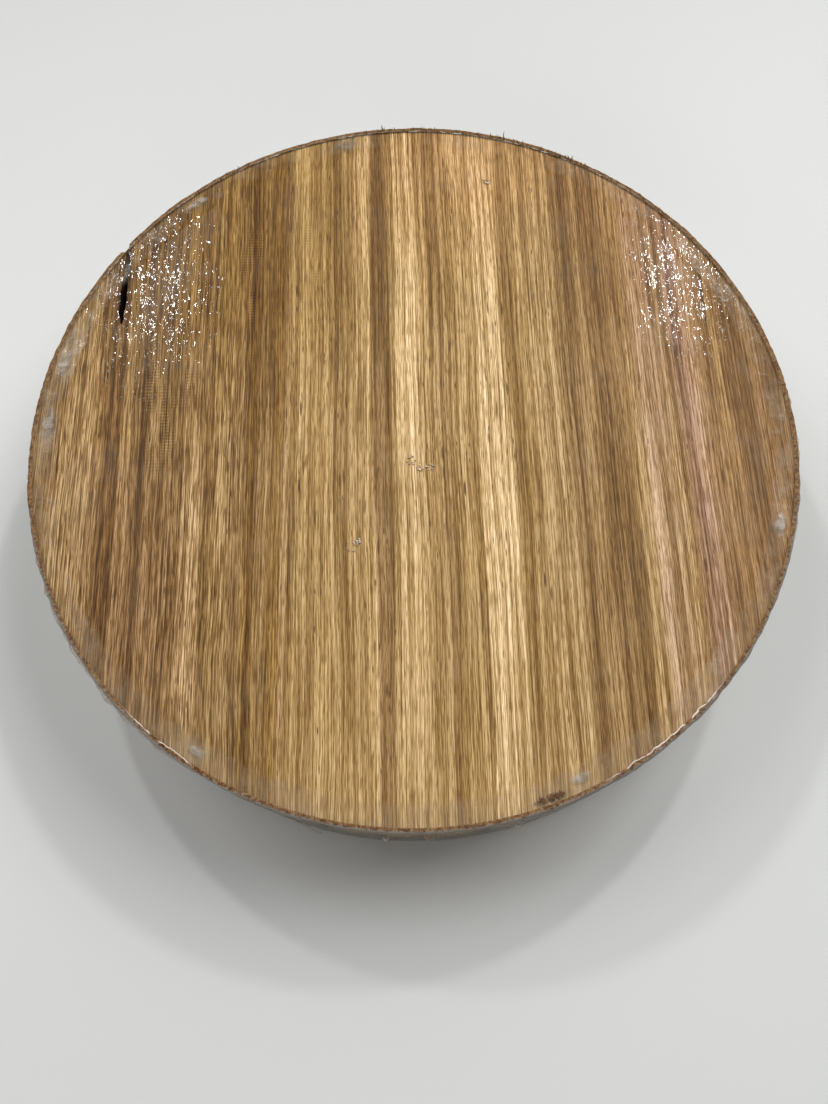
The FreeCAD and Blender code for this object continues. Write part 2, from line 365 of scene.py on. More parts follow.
@dataclass
class Strand:
    """A closed skin of rings along a line, with a point at each end.

    Args:
        sides: points round a ring.
        rings: each ring's middle, its half widths across and up, and those two directions.
    """

    sides: int
    rings: list[tuple[Vector, float, float, Vector, Vector]] = field(default_factory=list)

    def add(self, centre: Vector, wide: float, tall: float, across: Vector, up: Vector) -> None:
        """Adds a ring.

        Args:
            centre: its middle.
            wide: its half width across.
            tall: its half width up.
            across: its first direction.
            up: its second direction.
        """
        self.rings.append((centre, wide, tall, across, up))

    def skin(self) -> Skin:
        """The finished skin; the first and last rings are drawn in to points.

        Returns:
            Its points and its faces.
        """
        sides = self.sides
        points: list[Vector] = [self.rings[0][0].copy()]
        for centre, wide, tall, across, up in self.rings[1:-1]:
            for k in range(sides):
                turn = math.tau * k / sides
                points.append(centre + across * (wide * math.cos(turn)) + up * (tall * math.sin(turn)))
        points.append(self.rings[-1][0].copy())
        end = len(points) - 1 - sides
        faces: list[tuple[int, ...]] = []
        for k in range(sides):
            n = (k + 1) % sides
            faces.append((0, 1 + n, 1 + k))
            faces += [(a + k, a + n, a + sides + n, a + sides + k) for a in range(1, end, sides)]
            faces.append((end + k, end + n, len(points) - 1))
        return points, faces


def merge_parts(name: str, parts: Sequence[Skin],
                material: bpy.types.Material, smooth: bool = True) -> bpy.types.Object:
    """One object that holds several separate closed skins.

    Args:
        name: the piece's name.
        parts: points and faces of each skin.
        material: their one material.
        smooth: whether their faces shade as one surface.

    Returns:
        The new object, with its faces pointing outwards.
    """
    points: list[Vector] = []
    faces: list[tuple[int, ...]] = []
    for part_points, part_faces in parts:
        first = len(points)
        points.extend(part_points)
        faces.extend(tuple(first + corner for corner in face) for face in part_faces)
    piece = new_piece(name, points, faces, [material], smooth)
    face_outwards(piece)
    return piece


# ------------------------------------------------------------------ shader wiring
class Wiring:
    """Places nodes in one shader tree and joins their inputs.

    Args:
        tree: the node tree to fill.
    """

    def __init__(self, tree: bpy.types.NodeTree) -> None:
        """Keeps the tree to fill."""
        self.tree = tree

    def node(self, kind: str, inputs: dict | None = None, **settings) -> bpy.types.Node:
        """One node, with its settings and its inputs, each a value or an output to join.

        Args:
            kind: the node's type, without the ShaderNode in front.
            inputs: input names or numbers, with what each gets.
            settings: attributes of the node itself.

        Returns:
            The new node.
        """
        made = self.tree.nodes.new("ShaderNode" + kind)
        for key, value in settings.items():
            setattr(made, key, value)
        for key, value in (inputs or {}).items():
            self.feed(made.inputs[key], value)
        return made

    def feed(self, socket: bpy.types.NodeSocket, value: Feed) -> None:
        """Joins an output to an input, or sets the input's own value.

        Args:
            socket: the input.
            value: an output to join, a tone, or a plain value.
        """
        if isinstance(value, bpy.types.NodeSocket):
            self.tree.links.new(value, socket)
        elif isinstance(value, Tone):
            socket.default_value = value.rgba
        else:
            socket.default_value = value

    def math(self, operation: str, *values: Feed) -> bpy.types.NodeSocket:
        """The result of a Math node."""
        return self.node("Math", dict(enumerate(values)), operation=operation).outputs[0]

    def vector(self, operation: str, *values: Feed) -> bpy.types.NodeSocket:
        """The vector result of a Vector Math node."""
        return self.node("VectorMath", dict(enumerate(values)), operation=operation).outputs["Vector"]

    def between(self, value: Feed, low: Feed, high: Feed, start: float = 0.0,
                end: float = 1.0) -> bpy.types.NodeSocket:
        """A soft step from one value to another.

        Args:
            value: what to look at.
            low: below this the result is start.
            high: above this the result is end.
            start: the first result.
            end: the last result.

        Returns:
            The result, smooth from start to end.
        """
        inputs = {"Value": value, "From Min": low, "From Max": high, "To Min": start, "To Max": end}
        return self.node("MapRange", inputs, interpolation_type="SMOOTHSTEP").outputs["Result"]

    def highest(self, values: Sequence[bpy.types.NodeSocket]) -> bpy.types.NodeSocket:
        """The largest of several values.

        Args:
            values: the values, one or more.

        Returns:
            The largest.
        """
        found = values[0]
        for value in values[1:]:
            found = self.math("MAXIMUM", found, value)
        return found

    def mix(self, share: Feed, a: Feed, b: Feed, blend: str = "MIX") -> bpy.types.NodeSocket:
        """A blend of two colours.

        Args:
            share: how much of the second colour shows, from 0 to 1.
            a: the first colour.
            b: the second colour.
            blend: the way of blending.

        Returns:
            The blended colour.
        """
        made = self.node("Mix", data_type="RGBA", blend_type=blend)
        for socket, value in ((made.inputs["Factor"], share), (made.inputs[6], a), (made.inputs[7], b)):
            self.feed(socket, value)
        return made.outputs[2]

    def noise(self, place: Feed, scale: float, detail: float = 2.0,
              rough: float = 0.5) -> bpy.types.NodeSocket:
        """Smooth noise.

        Args:
            place: where it is looked up.
            scale: lumps to a unit.
            detail: how many finer layers it has.
            rough: how strong they are.

        Returns:
            A value from 0 to 1.
        """
        inputs = {"Vector": place, "Scale": scale, "Detail": detail, "Roughness": rough}
        return self.node("TexNoise", inputs).outputs["Fac"]

    def ramp(self, value: Feed, stops: Sequence[Stop]) -> bpy.types.NodeSocket:
        """A run of tones over a value from 0 to 1.

        Args:
            value: where on the run.
            stops: the tones and their places on it.

        Returns:
            The tone at the value.
        """
        made = self.node("ValToRGB", {"Fac": value})
        band = made.color_ramp
        while len(band.elements) < len(stops):
            band.elements.new(0.5)
        for element, (position, tone) in zip(band.elements, stops):
            element.position = position
            element.color = tone.rgba
        return made.outputs["Color"]

    def stretch(self, place: Feed, x: float, y: float, z: float) -> bpy.types.NodeSocket:
        """Places measured in grains of this size along each axis, in millimetres."""
        return self.vector("MULTIPLY", place, (1 / x, 1 / y, 1 / z))

    def apply(self, group: bpy.types.NodeTree, inputs: dict) -> bpy.types.Node:
        """Places a shared effect and feeds its inputs.

        Args:
            group: the effect.
            inputs: input names, with what each gets.

        Returns:
            The effect's node.
        """
        made = self.tree.nodes.new("ShaderNodeGroup")
        made.node_tree = group
        for key, value in inputs.items():
            self.feed(made.inputs[key], value)
        return made


def effect(name: str, inputs: dict[str, object], outputs: dict[str, str],
           fill: Callable[[Wiring, dict], dict]) -> bpy.types.NodeTree:
    """Builds a shared effect once, as a node group with named inputs and outputs.

    Args:
        name: the effect's name.
        inputs: each input's default: a number, or "place" for a vector.
        outputs: each output's kind, "Float" or "Color".
        fill: takes the wiring and the input sockets, and returns what each output gets.

    Returns:
        The node group.
    """
    if name in bpy.data.node_groups:
        return bpy.data.node_groups[name]
    tree = bpy.data.node_groups.new(name, "ShaderNodeTree")
    for key, default in inputs.items():
        is_place = default == "place"
        socket = tree.interface.new_socket(key, in_out="INPUT",
                                           socket_type="NodeSocketVector" if is_place else "NodeSocketFloat")
        if not is_place:
            socket.default_value = default
    for key, kind in outputs.items():
        tree.interface.new_socket(key, in_out="OUTPUT", socket_type="NodeSocket" + kind)
    entry = tree.nodes.new("NodeGroupInput")
    leave = tree.nodes.new("NodeGroupOutput")
    wiring = Wiring(tree)
    given = {socket.name: socket for socket in entry.outputs if socket.name}
    for key, value in fill(wiring, given).items():
        wiring.feed(leave.inputs[key], value)
    return tree


# ------------------------------------------------------------------ shared effects
def fibre_streaks() -> bpy.types.NodeTree:
    """Streaks along the grain: light and dark lines of one width and length."""

    def fill(w: Wiring, given: dict) -> dict:
        """Draws noise out along Y.

        Args:
            w: the effect's wiring.
            given: its input sockets.

        Returns:
            What its output gets.
        """
        narrow = w.math("DIVIDE", 1.0, given["Width"])
        long = w.math("DIVIDE", 1.0, given["Length"])
        scale = w.node("CombineXYZ", {0: narrow, 1: long, 2: w.math("MULTIPLY", narrow, 0.35)}).outputs[0]
        seed = w.node("CombineXYZ", {axis: given["Seed"] for axis in range(3)}).outputs[0]
        place = w.vector("ADD", w.vector("MULTIPLY", given["Place"], scale), seed)
        return {"Value": w.noise(place, 1.0, 1.2, 0.45)}

    return effect("Fibre Streaks", {"Place": "place", "Width": 1.0, "Length": 30.0, "Seed": 0.0},
                  {"Value": "Float"}, fill)


def pore_dashes() -> bpy.types.NodeTree:
    """Open pores: short dark dashes along the grain, some of them missing."""

    def fill(w: Wiring, given: dict) -> dict:
        """Puts one dash in a cell, kept by chance.

        Args:
            w: the effect's wiring.
            given: its input sockets.

        Returns:
            What its output gets.
        """
        narrow = w.math("DIVIDE", 1.0, given["Spacing"])
        long = w.math("DIVIDE", 1.0, given["Length"])
        scale = w.node("CombineXYZ", {0: narrow, 1: long, 2: narrow}).outputs[0]
        place = w.vector("MULTIPLY", given["Place"], scale)
        cells = w.node("TexVoronoi", {"Vector": place, "Scale": 1.0, "Randomness": 1.0}, feature="F1")
        chance = w.node("SeparateColor", {0: cells.outputs["Color"]}).outputs[0]
        dash = w.between(cells.outputs["Distance"], 0.14, 0.27, 1.0, 0.0)
        present = w.between(chance, w.math("SUBTRACT", 1.0, given["Amount"]), 1.0)
        return {"Mask": w.math("MULTIPLY", dash, present)}

    return effect("Pore Dashes", {"Place": "place", "Spacing": 0.9, "Length": 8.0, "Amount": 0.6},
                  {"Mask": "Float"}, fill)


def saw_marks() -> bpy.types.NodeTree:
    """Fine lines across the grain, that the saw left in patches."""

    def fill(w: Wiring, given: dict) -> dict:
        """Keeps a wave along Y where patchy noise is high.

        Args:
            w: the effect's wiring.
            given: its input sockets.

        Returns:
            What its output gets.
        """
        along = w.node("SeparateXYZ", {0: given["Place"]}).outputs[1]
        wobble = w.noise(given["Place"], 0.12, 1.0)
        turn = w.math("DIVIDE", w.math("ADD", along, wobble), given["Pitch"])
        wave = w.math("SINE", w.math("MULTIPLY", turn, math.tau))
        patch = w.between(w.noise(w.stretch(given["Place"], 5.0, 16.0, 5.0), 1.0, 3.0, 0.6), 0.48, 0.62)
        return {"Height": w.math("MULTIPLY", wave, patch)}

    return effect("Saw Marks", {"Place": "place", "Pitch": 1.15}, {"Height": "Float"}, fill)


def oval_patch() -> bpy.types.NodeTree:
    """A soft-edged, ragged patch on the upper face."""

    def fill(w: Wiring, given: dict) -> dict:
        """Measures from the patch's middle, pushed about by noise.

        Args:
            w: the effect's wiring.
            given: its input sockets.

        Returns:
            What its output gets.
        """
        ragged = w.node("TexNoise", {"Vector": given["Place"], "Scale": 0.09, "Detail": 3.0}).outputs["Color"]
        push = w.vector("MULTIPLY", w.vector("SUBTRACT", ragged, (0.5, 0.5, 0.5)), (16.0, 16.0, 0.0))
        x, y, _ = w.node("SeparateXYZ", {0: w.vector("ADD", given["Place"], push)}).outputs
        across = w.math("DIVIDE", w.math("SUBTRACT", x, given["X"]), given["Half Width"])
        along = w.math("DIVIDE", w.math("SUBTRACT", y, given["Y"]), given["Half Length"])
        reach = w.math("SQRT", w.math("ADD", w.math("POWER", w.math("ABSOLUTE", across), 2.0),
                                      w.math("POWER", w.math("ABSOLUTE", along), 2.0)))
        inner = w.math("SUBTRACT", 1.0, given["Softness"])
        outer = w.math("ADD", 1.0, given["Softness"])
        return {"Mask": w.between(reach, inner, outer, 1.0, 0.0)}

    return effect("Oval Patch", {"Place": "place", "X": 0.0, "Y": 0.0, "Half Width": 10.0,
                                 "Half Length": 20.0, "Softness": 0.3}, {"Mask": "Float"}, fill)


def wax_cloud() -> bpy.types.NodeTree:
    """Cloudy wax: where it set thick and milky, from 0 to 1."""

    def fill(w: Wiring, given: dict) -> dict:
        """Steps broad noise from a thin to a thick value.

        Args:
            w: the effect's wiring.
            given: its input sockets.

        Returns:
            What its output gets.
        """
        scale = w.math("DIVIDE", 1.0, given["Size"])
        broad = w.node("TexNoise", {"Vector": given["Place"], "Scale": scale, "Detail": 4.0,
                                    "Roughness": 0.55, "Distortion": 0.6}).outputs["Fac"]
        return {"Mask": w.between(broad, given["Thin"], given["Thick"])}

    return effect("Wax Cloud", {"Place": "place", "Size": 20.0, "Thin": 0.45, "Thick": 0.65},
                  {"Mask": "Float"}, fill)


def wax_ripple() -> bpy.types.NodeTree:
    """The lumpy skin of wax that set over rough wood, as a height."""

    def fill(w: Wiring, given: dict) -> dict:
        """Makes noise of one size of lump.

        Args:
            w: the effect's wiring.
            given: its input sockets.

        Returns:
            What its output gets.
        """
        scale = w.math("DIVIDE", 1.0, given["Size"])
        inputs = {"Vector": given["Place"], "Scale": scale, "Detail": 3.0, "Roughness": 0.6,
                  "Distortion": 0.4}
        return {"Height": w.node("TexNoise", inputs).outputs["Fac"]}

    return effect("Wax Ripple", {"Place": "place", "Size": 3.0}, {"Height": "Float"}, fill)


def any_patch(w: Wiring, place: Feed, zones: Sequence["Zone"]) -> bpy.types.NodeSocket:
    """The mask of several patches taken together.

    Args:
        w: the material's wiring.
        place: the place on the blank in millimetres.
        zones: the patches.

    Returns:
        Their mask, from 0 to 1.
    """
    return w.highest([w.apply(oval_patch(), zone.inputs(place)).outputs[0] for zone in zones])


# ------------------------------------------------------------------ finishes
@dataclass(frozen=True)
class Finish:
    """What every finish shares: a name and the gloss of its surface.

    Args:
        name: the material's name.
        specular: strength of its reflections.
    """

    name: str
    specular: float = 0.5

    def start(self) -> tuple[bpy.types.Material, Wiring, bpy.types.Node, bpy.types.NodeSocket]:
        """A new material.

        Returns:
            The material, its wiring, its Principled node and the place on the blank in millimetres.
        """
        material = bpy.data.materials.new(self.name)
        material.use_nodes = True
        w = Wiring(material.node_tree)
        surface = material.node_tree.nodes["Principled BSDF"]
        surface.inputs["Specular IOR Level"].default_value = self.specular
        place = w.vector("SCALE", w.node("TexCoord").outputs["Object"])
        place.node.inputs["Scale"].default_value = 1 / MM
        return material, w, surface, place

    @staticmethod
    def roughen(w: Wiring, surface: bpy.types.Node, height: bpy.types.NodeSocket, depth: float,
                strength: float = 1.0) -> None:
        """Gives the surface relief.

        Args:
            w: the material's wiring.
            surface: its Principled node.
            height: heights from about 0 to 1.
            depth: how tall a height of 1 is, in metres.
            strength: how much of it shows.
        """
        bump = w.node("Bump", {"Strength": strength, "Distance": depth, "Height": height})
        w.feed(surface.inputs["Normal"], bump.outputs["Normal"])


@dataclass(frozen=True)
class Streak:
    """One layer of fibre streaks: sizes in millimetres, and what it does to the wood's colour.

    Args:
        width: the streaks' width.
        length: their length along the grain.
        seed: picks the pattern.
        dark: the colour's gain where the layer is dark.
        light: its gain where the layer is light.
        low: the value that counts as dark.
        high: the value that counts as light.
    """

    width: float
    length: float
    seed: float
    dark: float
    light: float
    low: float
    high: float

    def inputs(self, place: Feed) -> dict:
        """What the streak effect gets."""
        return {"Place": place, "Width": self.width, "Length": self.length, "Seed": self.seed}


@dataclass(frozen=True)
class Zone:
    """A ragged oval on the upper face, in millimetres.

    Args:
        x: its middle across the grain.
        y: its middle along the grain.
        half_width: half its width.
        half_length: half its length.
        softness: how gradual its edge is.
    """

    x: float
    y: float
    half_width: float
    half_length: float
    softness: float

    def inputs(self, place: Feed) -> dict:
        """What the patch effect gets."""
        return {"Place": place, "X": self.x, "Y": self.y, "Half Width": self.half_width,
                "Half Length": self.half_length, "Softness": self.softness}


@dataclass(frozen=True)
class Tint(Zone):
    """A zone where the wood's colour changes.

    Args:
        gain: what its red, green and blue are multiplied by.
    """

    gain: tuple[float, float, float]


@dataclass(frozen=True)
class PoreLayer:
    """One layer of open pores, sizes in millimetres.

    Args:
        spacing: from one place for a pore to the next.
        length: a pore's length along the grain.
        amount: the share of the places that hold one.
    """

    spacing: float
    length: float
    amount: float

    def inputs(self, place: Feed) -> dict:
        """What the pore effect gets."""
        return {"Place": place, "Spacing": self.spacing, "Length": self.length, "Amount": self.amount}


@dataclass(frozen=True)
class RibbonTimber(Finish):
    """Straight-grained wood with ribbon stripes, wetted by the wax over it.

    Args:
        radius: the blank's radius in millimetres.
        top: height of the upper face in millimetres.
        left: the stripes from the left rim to the middle.
        right: the stripes from the middle to the right rim.
        tints: zones where the colour changes; the first, at the far left, is partly painted shade.
        streaks: the layers of fibre.
        rough_fibre: the short coarse fibre of the left side.
        rough_from: where it starts across the grain, in millimetres.
        rough_to: where it has its full strength.
        pores: the layers of open pores.
        pore_cover: how dark a pore is, from 0 to 1.
        sawn: zones that kept saw marks.
        saw_pitch: from one saw mark to the next in millimetres.
        saw_gains: the colour's gain in a mark and beside it.
        lumpy: zones where wet wax stands in beads.
        oiled: the gain that wetting gives to red, green and blue.
        rough: its roughness.
        bead_rough: the roughness of the wet beads.
        relief: the height of fibres and pores in millimetres.
    """

    radius: float = 127.0
    top: float = 51.6
    left: tuple[Stop, ...] = (
        (0.00, Tone.TAN), (0.10, Tone.TAN), (0.155, Tone.TAN), (0.185, Tone.NUT), (0.205, Tone.UMBER),
        (0.235, Tone.NUT), (0.265, Tone.NUT), (0.287, Tone.UMBER), (0.31, Tone.NUT), (0.37, Tone.NUT),
        (0.41, Tone.TAN), (0.45, Tone.TAN), (0.485, Tone.HONEY), (0.52, Tone.TAN), (0.55, Tone.NUT),
        (0.57, Tone.GOLD), (0.605, Tone.TAN), (0.64, Tone.GOLD), (0.665, Tone.TAN), (0.685, Tone.WHEAT),
        (0.77, Tone.WHEAT), (0.80, Tone.HONEY), (0.845, Tone.HONEY), (0.87, Tone.STRAW), (0.893, Tone.STRAW),
        (0.900, Tone.UMBER), (0.93, Tone.NUT), (0.955, Tone.WHEAT), (0.98, Tone.STRAW), (1.00, Tone.CREAM),
    )
    right: tuple[Stop, ...] = (
        (0.00, Tone.CREAM), (0.03, Tone.STRAW), (0.05, Tone.STRAW), (0.065, Tone.HONEY), (0.088, Tone.TAN),
        (0.105, Tone.WHEAT), (0.13, Tone.WHEAT), (0.165, Tone.STRAW), (0.19, Tone.STRAW), (0.20, Tone.CREAM),
        (0.25, Tone.CREAM), (0.258, Tone.CREAM), (0.266, Tone.HONEY), (0.30, Tone.WHEAT), (0.325, Tone.HONEY),
        (0.355, Tone.WHEAT), (0.40, Tone.WHEAT), (0.43, Tone.TAN), (0.475, Tone.TAN), (0.505, Tone.UMBER),
        (0.53, Tone.NUT), (0.565, Tone.TAN), (0.59, Tone.HONEY), (0.625, Tone.ROSE), (0.67, Tone.ROSE),
        (0.70, Tone.TAN), (0.735, Tone.MAUVE), (0.78, Tone.ROSE), (0.83, Tone.TAN), (0.87, Tone.NUT),
        (0.92, Tone.NUT), (0.97, Tone.TAN),
    )
    streaks: tuple[Streak, ...] = (
        Streak(5.0, 260.0, 3.0, 0.84, 1.08, 0.42, 0.56),
        Streak(1.6, 190.0, 11.0, 0.76, 1.10, 0.43, 0.53),
        Streak(0.66, 90.0, 23.0, 0.73, 1.10, 0.40, 0.49),
        Streak(0.36, 36.0, 41.0, 0.61, 1.12, 0.39, 0.48),
        Streak(0.22, 5.5, 59.0, 0.66, 1.18, 0.38, 0.56),
    )
    rough_fibre: Streak = Streak(0.40, 12.0, 77.0, 0.54, 1.18, 0.40, 0.52)
    rough_from: float = -30.0
    rough_to: float = -62.0
    pores: tuple[PoreLayer, ...] = (PoreLayer(0.95, 6.0, 0.75), PoreLayer(1.7, 13.0, 0.7))
    pore_cover: float = 0.85
    sawn: tuple[Zone, ...] = (
        Zone(-86.0, 16.0, 9.0, 24.0, 0.4),
        Zone(-54.0, 60.0, 6.0, 26.0, 0.4),
        Zone(-34.0, 64.0, 4.0, 22.0, 0.4),
    )
    saw_pitch: float = 1.15
    saw_gains: tuple[float, float] = (0.70, 1.25)
    lumpy: tuple[Zone, ...] = (Zone(-90.0, 60.0, 17.0, 36.0, 0.8), Zone(96.0, 61.0, 14.0, 27.0, 0.8))
    oiled: tuple[float, float, float] = (1.20, 1.20, 1.10)
    rough: float = 0.6
    bead_rough: float = 0.07
    relief: float = 0.12
    tints: tuple[Tint, ...] = (
        # far-left zone darkens the wood to golden brown: partly its own tone, partly painted shade where the
        # wax shows no sheen
        Tint(-74.0, 80.0, 42.0, 62.0, 0.8, (0.70, 0.62, 0.38)),
        Tint(10.0, 95.0, 90.0, 46.0, 0.9, (0.90, 0.88, 0.82)),
        Tint(-92.0, -62.0, 16.0, 52.0, 0.5, (0.90, 0.84, 0.84)),
        Tint(-57.0, 64.0, 6.0, 40.0, 0.6, (0.95, 0.94, 0.86)),
        Tint(50.0, 0.0, 8.0, 115.0, 0.6, (0.91, 0.91, 0.95)),
        Tint(103.0, 0.0, 6.0, 56.0, 0.6, (1.15, 1.17, 1.10)),
        Tint(-102.0, 0.0, 6.0, 50.0, 0.6, (1.16, 1.14, 1.14)),
        Tint(30.0, 112.0, 40.0, 34.0, 0.8, (0.97, 0.88, 0.84)),
        Tint(-72.5, -60.0, 5.0, 50.0, 0.6, (1.24, 1.28, 1.42)),
        Tint(86.0, -50.0, 4.0, 50.0, 0.6, (1.14, 1.15, 1.10)),
        Tint(90.0, 70.0, 24.0, 50.0, 0.8, (0.90, 0.82, 0.74)),
        Tint(112.0, -30.0, 16.0, 62.0, 0.7, (0.93, 0.86, 0.88)),
    )

    def figure(self, w: Wiring, place: Feed) -> bpy.types.NodeSocket:
        """The broad stripes.

        Args:
            w: the material's wiring.
            place: the place on the blank in millimetres.

        Returns:
            Their colour.
        """
        drift = w.noise(w.stretch(place, 46.0, 150.0, 70.0), 1.0, 1.0)
        waver = w.noise(w.stretch(place, 5.0, 70.0, 30.0), 1.0, 2.0, 0.6)
        x, _, z = w.node("SeparateXYZ", {0: place}).outputs
        shift = w.math("ADD", w.math("MULTIPLY_ADD", drift, 4.0, -2.0),
                       w.math("MULTIPLY_ADD", waver, 3.0, -1.5))
        lean = w.math("MULTIPLY", w.math("SUBTRACT", z, self.top), 0.22)
        across = w.math("DIVIDE", w.math("ADD", w.math("ADD", x, shift), lean), self.radius)
        left = w.ramp(w.math("ADD", across, 1.0), self.left)
        right = w.ramp(across, self.right)
        return w.mix(w.math("GREATER_THAN", across, 0.0), left, right)

    @staticmethod
    def warm(gain: float) -> Colour:
        """A gain that leaves dark fibres browner, not greyer."""
        return (gain, gain ** 1.22, gain ** 1.8, 1.0)

    def shade(self, w: Wiring, colour: Feed, share: Feed, dark: float, light: float) -> bpy.types.NodeSocket:
        """A colour made darker where a share is low, and lighter where it is high.

        Args:
            w: the material's wiring.
            colour: the colour to change.
            share: from 0 for dark to 1 for light.
            dark: the gain where the share is 0.
            light: the gain where it is 1.

        Returns:
            The changed colour.
        """
        return w.mix(1.0, colour, w.mix(share, self.warm(dark), self.warm(light)), "MULTIPLY")

    def streaked(self, w: Wiring, colour: Feed, value: Feed, streak: Streak) -> bpy.types.NodeSocket:
        """A colour with one layer of fibre over it.

        Args:
            w: the material's wiring.
            colour: the colour to change.
            value: the layer's value.
            streak: the layer.

        Returns:
            The changed colour.
        """
        return self.shade(w, colour, w.between(value, streak.low, streak.high), streak.dark, streak.light)

    def fibres(self, w: Wiring, colour: Feed, place: Feed,
               grain: Feed) -> tuple[bpy.types.NodeSocket, bpy.types.NodeSocket]:
        """Draws the layers of fibre over a colour.

        Args:
            w: the material's wiring.
            colour: the colour under them.
            place: the place on the blank in millimetres.
            grain: the place along the bending grain.

        Returns:
            The changed colour, and the fibres' height.
        """
        values = [w.apply(fibre_streaks(), streak.inputs(grain)).outputs[0] for streak in self.streaks]
        height = values[0]
        for value, streak in zip(values, self.streaks):
            colour = self.streaked(w, colour, value, streak)
        for value in values[1:]:
            height = w.math("ADD", height, value)
        coarse = w.apply(fibre_streaks(), self.rough_fibre.inputs(grain)).outputs[0]
        torn = self.streaked(w, colour, coarse, self.rough_fibre)
        across = w.node("SeparateXYZ", {0: place}).outputs[0]
        return w.mix(w.between(across, self.rough_from, self.rough_to, 0.15, 1.0), colour, torn), height

    def open_pores(self, w: Wiring, place: Feed, grain: Feed) -> bpy.types.NodeSocket:
        """Where the open pores are, denser in some bands than in others.

        Args:
            w: the material's wiring.
            place: the place on the blank in millimetres.
            grain: the place along the bending grain.

        Returns:
            Their mask, from 0 to 1.
        """
        density = w.between(w.noise(w.stretch(place, 7.0, 80.0, 20.0), 1.0, 2.0), 0.40, 0.60, 0.15, 1.0)
        dashes = w.highest([w.apply(pore_dashes(), layer.inputs(grain)).outputs[0] for layer in self.pores])
        return w.math("MULTIPLY", dashes, density)

    def beads(self, w: Wiring, place: Feed) -> bpy.types.NodeSocket:
        """Where beads of wet wax stand: specks, gathered in chains along the grain.

        Args:
            w: the material's wiring.
            place: the place on the blank in millimetres.

        Returns:
            Their mask, from 0 to 1.
        """
        zone = any_patch(w, place, self.lumpy)
        specks = w.noise(w.stretch(place, 0.8, 1.9, 1.0), 1.0, 2.0, 0.6)
        chains = w.noise(w.stretch(place, 2.6, 16.0, 3.0), 1.0, 1.0)
        specks = w.math("ADD", w.math("MULTIPLY_ADD", zone, 0.10, specks),
                        w.math("MULTIPLY_ADD", chains, 0.34, -0.17))
        return w.math("MULTIPLY", w.between(zone, 0.05, 0.3), w.between(specks, 0.605, 0.655))

    def build(self) -> bpy.types.Material:
        """Makes the material.

        Returns:
            The wood's material.
        """
        material, w, surface, place = self.start()
        colour = self.figure(w, place)
        for tint in self.tints:
            mask = w.apply(oval_patch(), tint.inputs(place)).outputs[0]
            colour = w.mix(mask, colour, w.mix(1.0, colour, (*tint.gain, 1.0), "MULTIPLY"))
        sway = w.noise(w.stretch(place, 22.0, 95.0, 40.0), 1.0, 2.0)
        bend = w.node("CombineXYZ", {0: w.math("MULTIPLY_ADD", sway, 3.6, -1.8)}).outputs[0]
        grain = w.vector("ADD", place, bend)
        colour, height = self.fibres(w, colour, place, grain)
        pores = self.open_pores(w, place, grain)
        colour = w.mix(w.math("MULTIPLY", pores, self.pore_cover), colour, Tone.PORE)
        saw = w.apply(saw_marks(), {"Place": place, "Pitch": self.saw_pitch}).outputs[0]
        saw = w.math("MULTIPLY", saw, any_patch(w, place, self.sawn))
        colour = self.shade(w, colour, w.math("MULTIPLY_ADD", saw, 0.5, 0.5), *self.saw_gains)
        colour = w.mix(1.0, colour, (*self.oiled, 1.0), "MULTIPLY")
        w.feed(surface.inputs["Base Color"], colour)
        wet = self.beads(w, place)
        surface.inputs["Roughness"].default_value = self.rough
        w.feed(surface.inputs["Coat Weight"], wet)
        surface.inputs["Coat Roughness"].default_value = self.bead_rough
        domes = w.noise(w.stretch(place, 1.1, 1.9, 1.0), 1.0, 1.0, 0.5)
        fine = w.math("SUBTRACT", w.math("MULTIPLY", height, 0.25), w.math("MULTIPLY", pores, 0.6))
        height = w.math("ADD", fine, w.math("MULTIPLY", w.math("MULTIPLY", domes, wet), 1.5))
        self.roughen(w, surface, height, self.relief * MM, 0.9)
        w.feed(surface.inputs["Coat Normal"], surface.inputs["Normal"].links[0].from_socket)
        return material


@dataclass(frozen=True)
class PlainWood(Finish):
    """Dry fibre, bark or dust, and the near-black painted shade inside the crack: one tone, broken up by
    streaks.

    Args:
        pale: the lighter tone.
        dark: the darker tone.
        rough: its roughness.
    """

    pale: Tone = Tone.FIBRE
    dark: Tone = Tone.TAN
    rough: float = 0.8

    def build(self) -> bpy.types.Material:
        """Makes the material.

        Returns:
            The wood's material.
        """
        material, w, surface, place = self.start()
        inputs = {"Place": place, "Width": 0.5, "Length": 2.0, "Seed": 5.0}
        value = w.apply(fibre_streaks(), inputs).outputs[0]
        w.feed(surface.inputs["Base Color"], w.mix(w.between(value, 0.35, 0.65), self.dark, self.pale))
        surface.inputs["Roughness"].default_value = self.rough
        self.roughen(w, surface, value, 0.1 * MM)
        return material


@dataclass(frozen=True)
class SealingWax(Finish):
    """Wax over wood: clear where it is thin, milky where it set thick.

    Args:
        tone: its colour where it is milky.
        thin: how much it hides at its thinnest.
        thick: how much it hides at its milkiest.
        cloud: size of the milky clouds in millimetres.
        lump: size of the lumps in its skin in millimetres.
        depth: their height in millimetres.
        rough: its roughness.
    """

    tone: Tone = Tone.WAX
    thin: float = 0.05
    thick: float = 0.3
    cloud: float = 20.0
    lump: float = 3.0
    depth: float = 0.1
    rough: float = 0.25

    def build(self) -> bpy.types.Material:
        """Makes the material.

        Returns:
            The wax's material.
        """
        material, w, surface, place = self.start()
        cloud = w.apply(wax_cloud(), {"Place": place, "Size": self.cloud}).outputs[0]
        w.feed(surface.inputs["Base Color"], w.mix(cloud, Tone.HAZE, self.tone))
        w.feed(surface.inputs["Alpha"], w.math("MULTIPLY_ADD", cloud, self.thick - self.thin, self.thin))
        surface.inputs["Roughness"].default_value = self.rough
        ripple = w.apply(wax_ripple(), {"Place": place, "Size": self.lump}).outputs[0]
        self.roughen(w, surface, ripple, self.depth * MM)
        return material


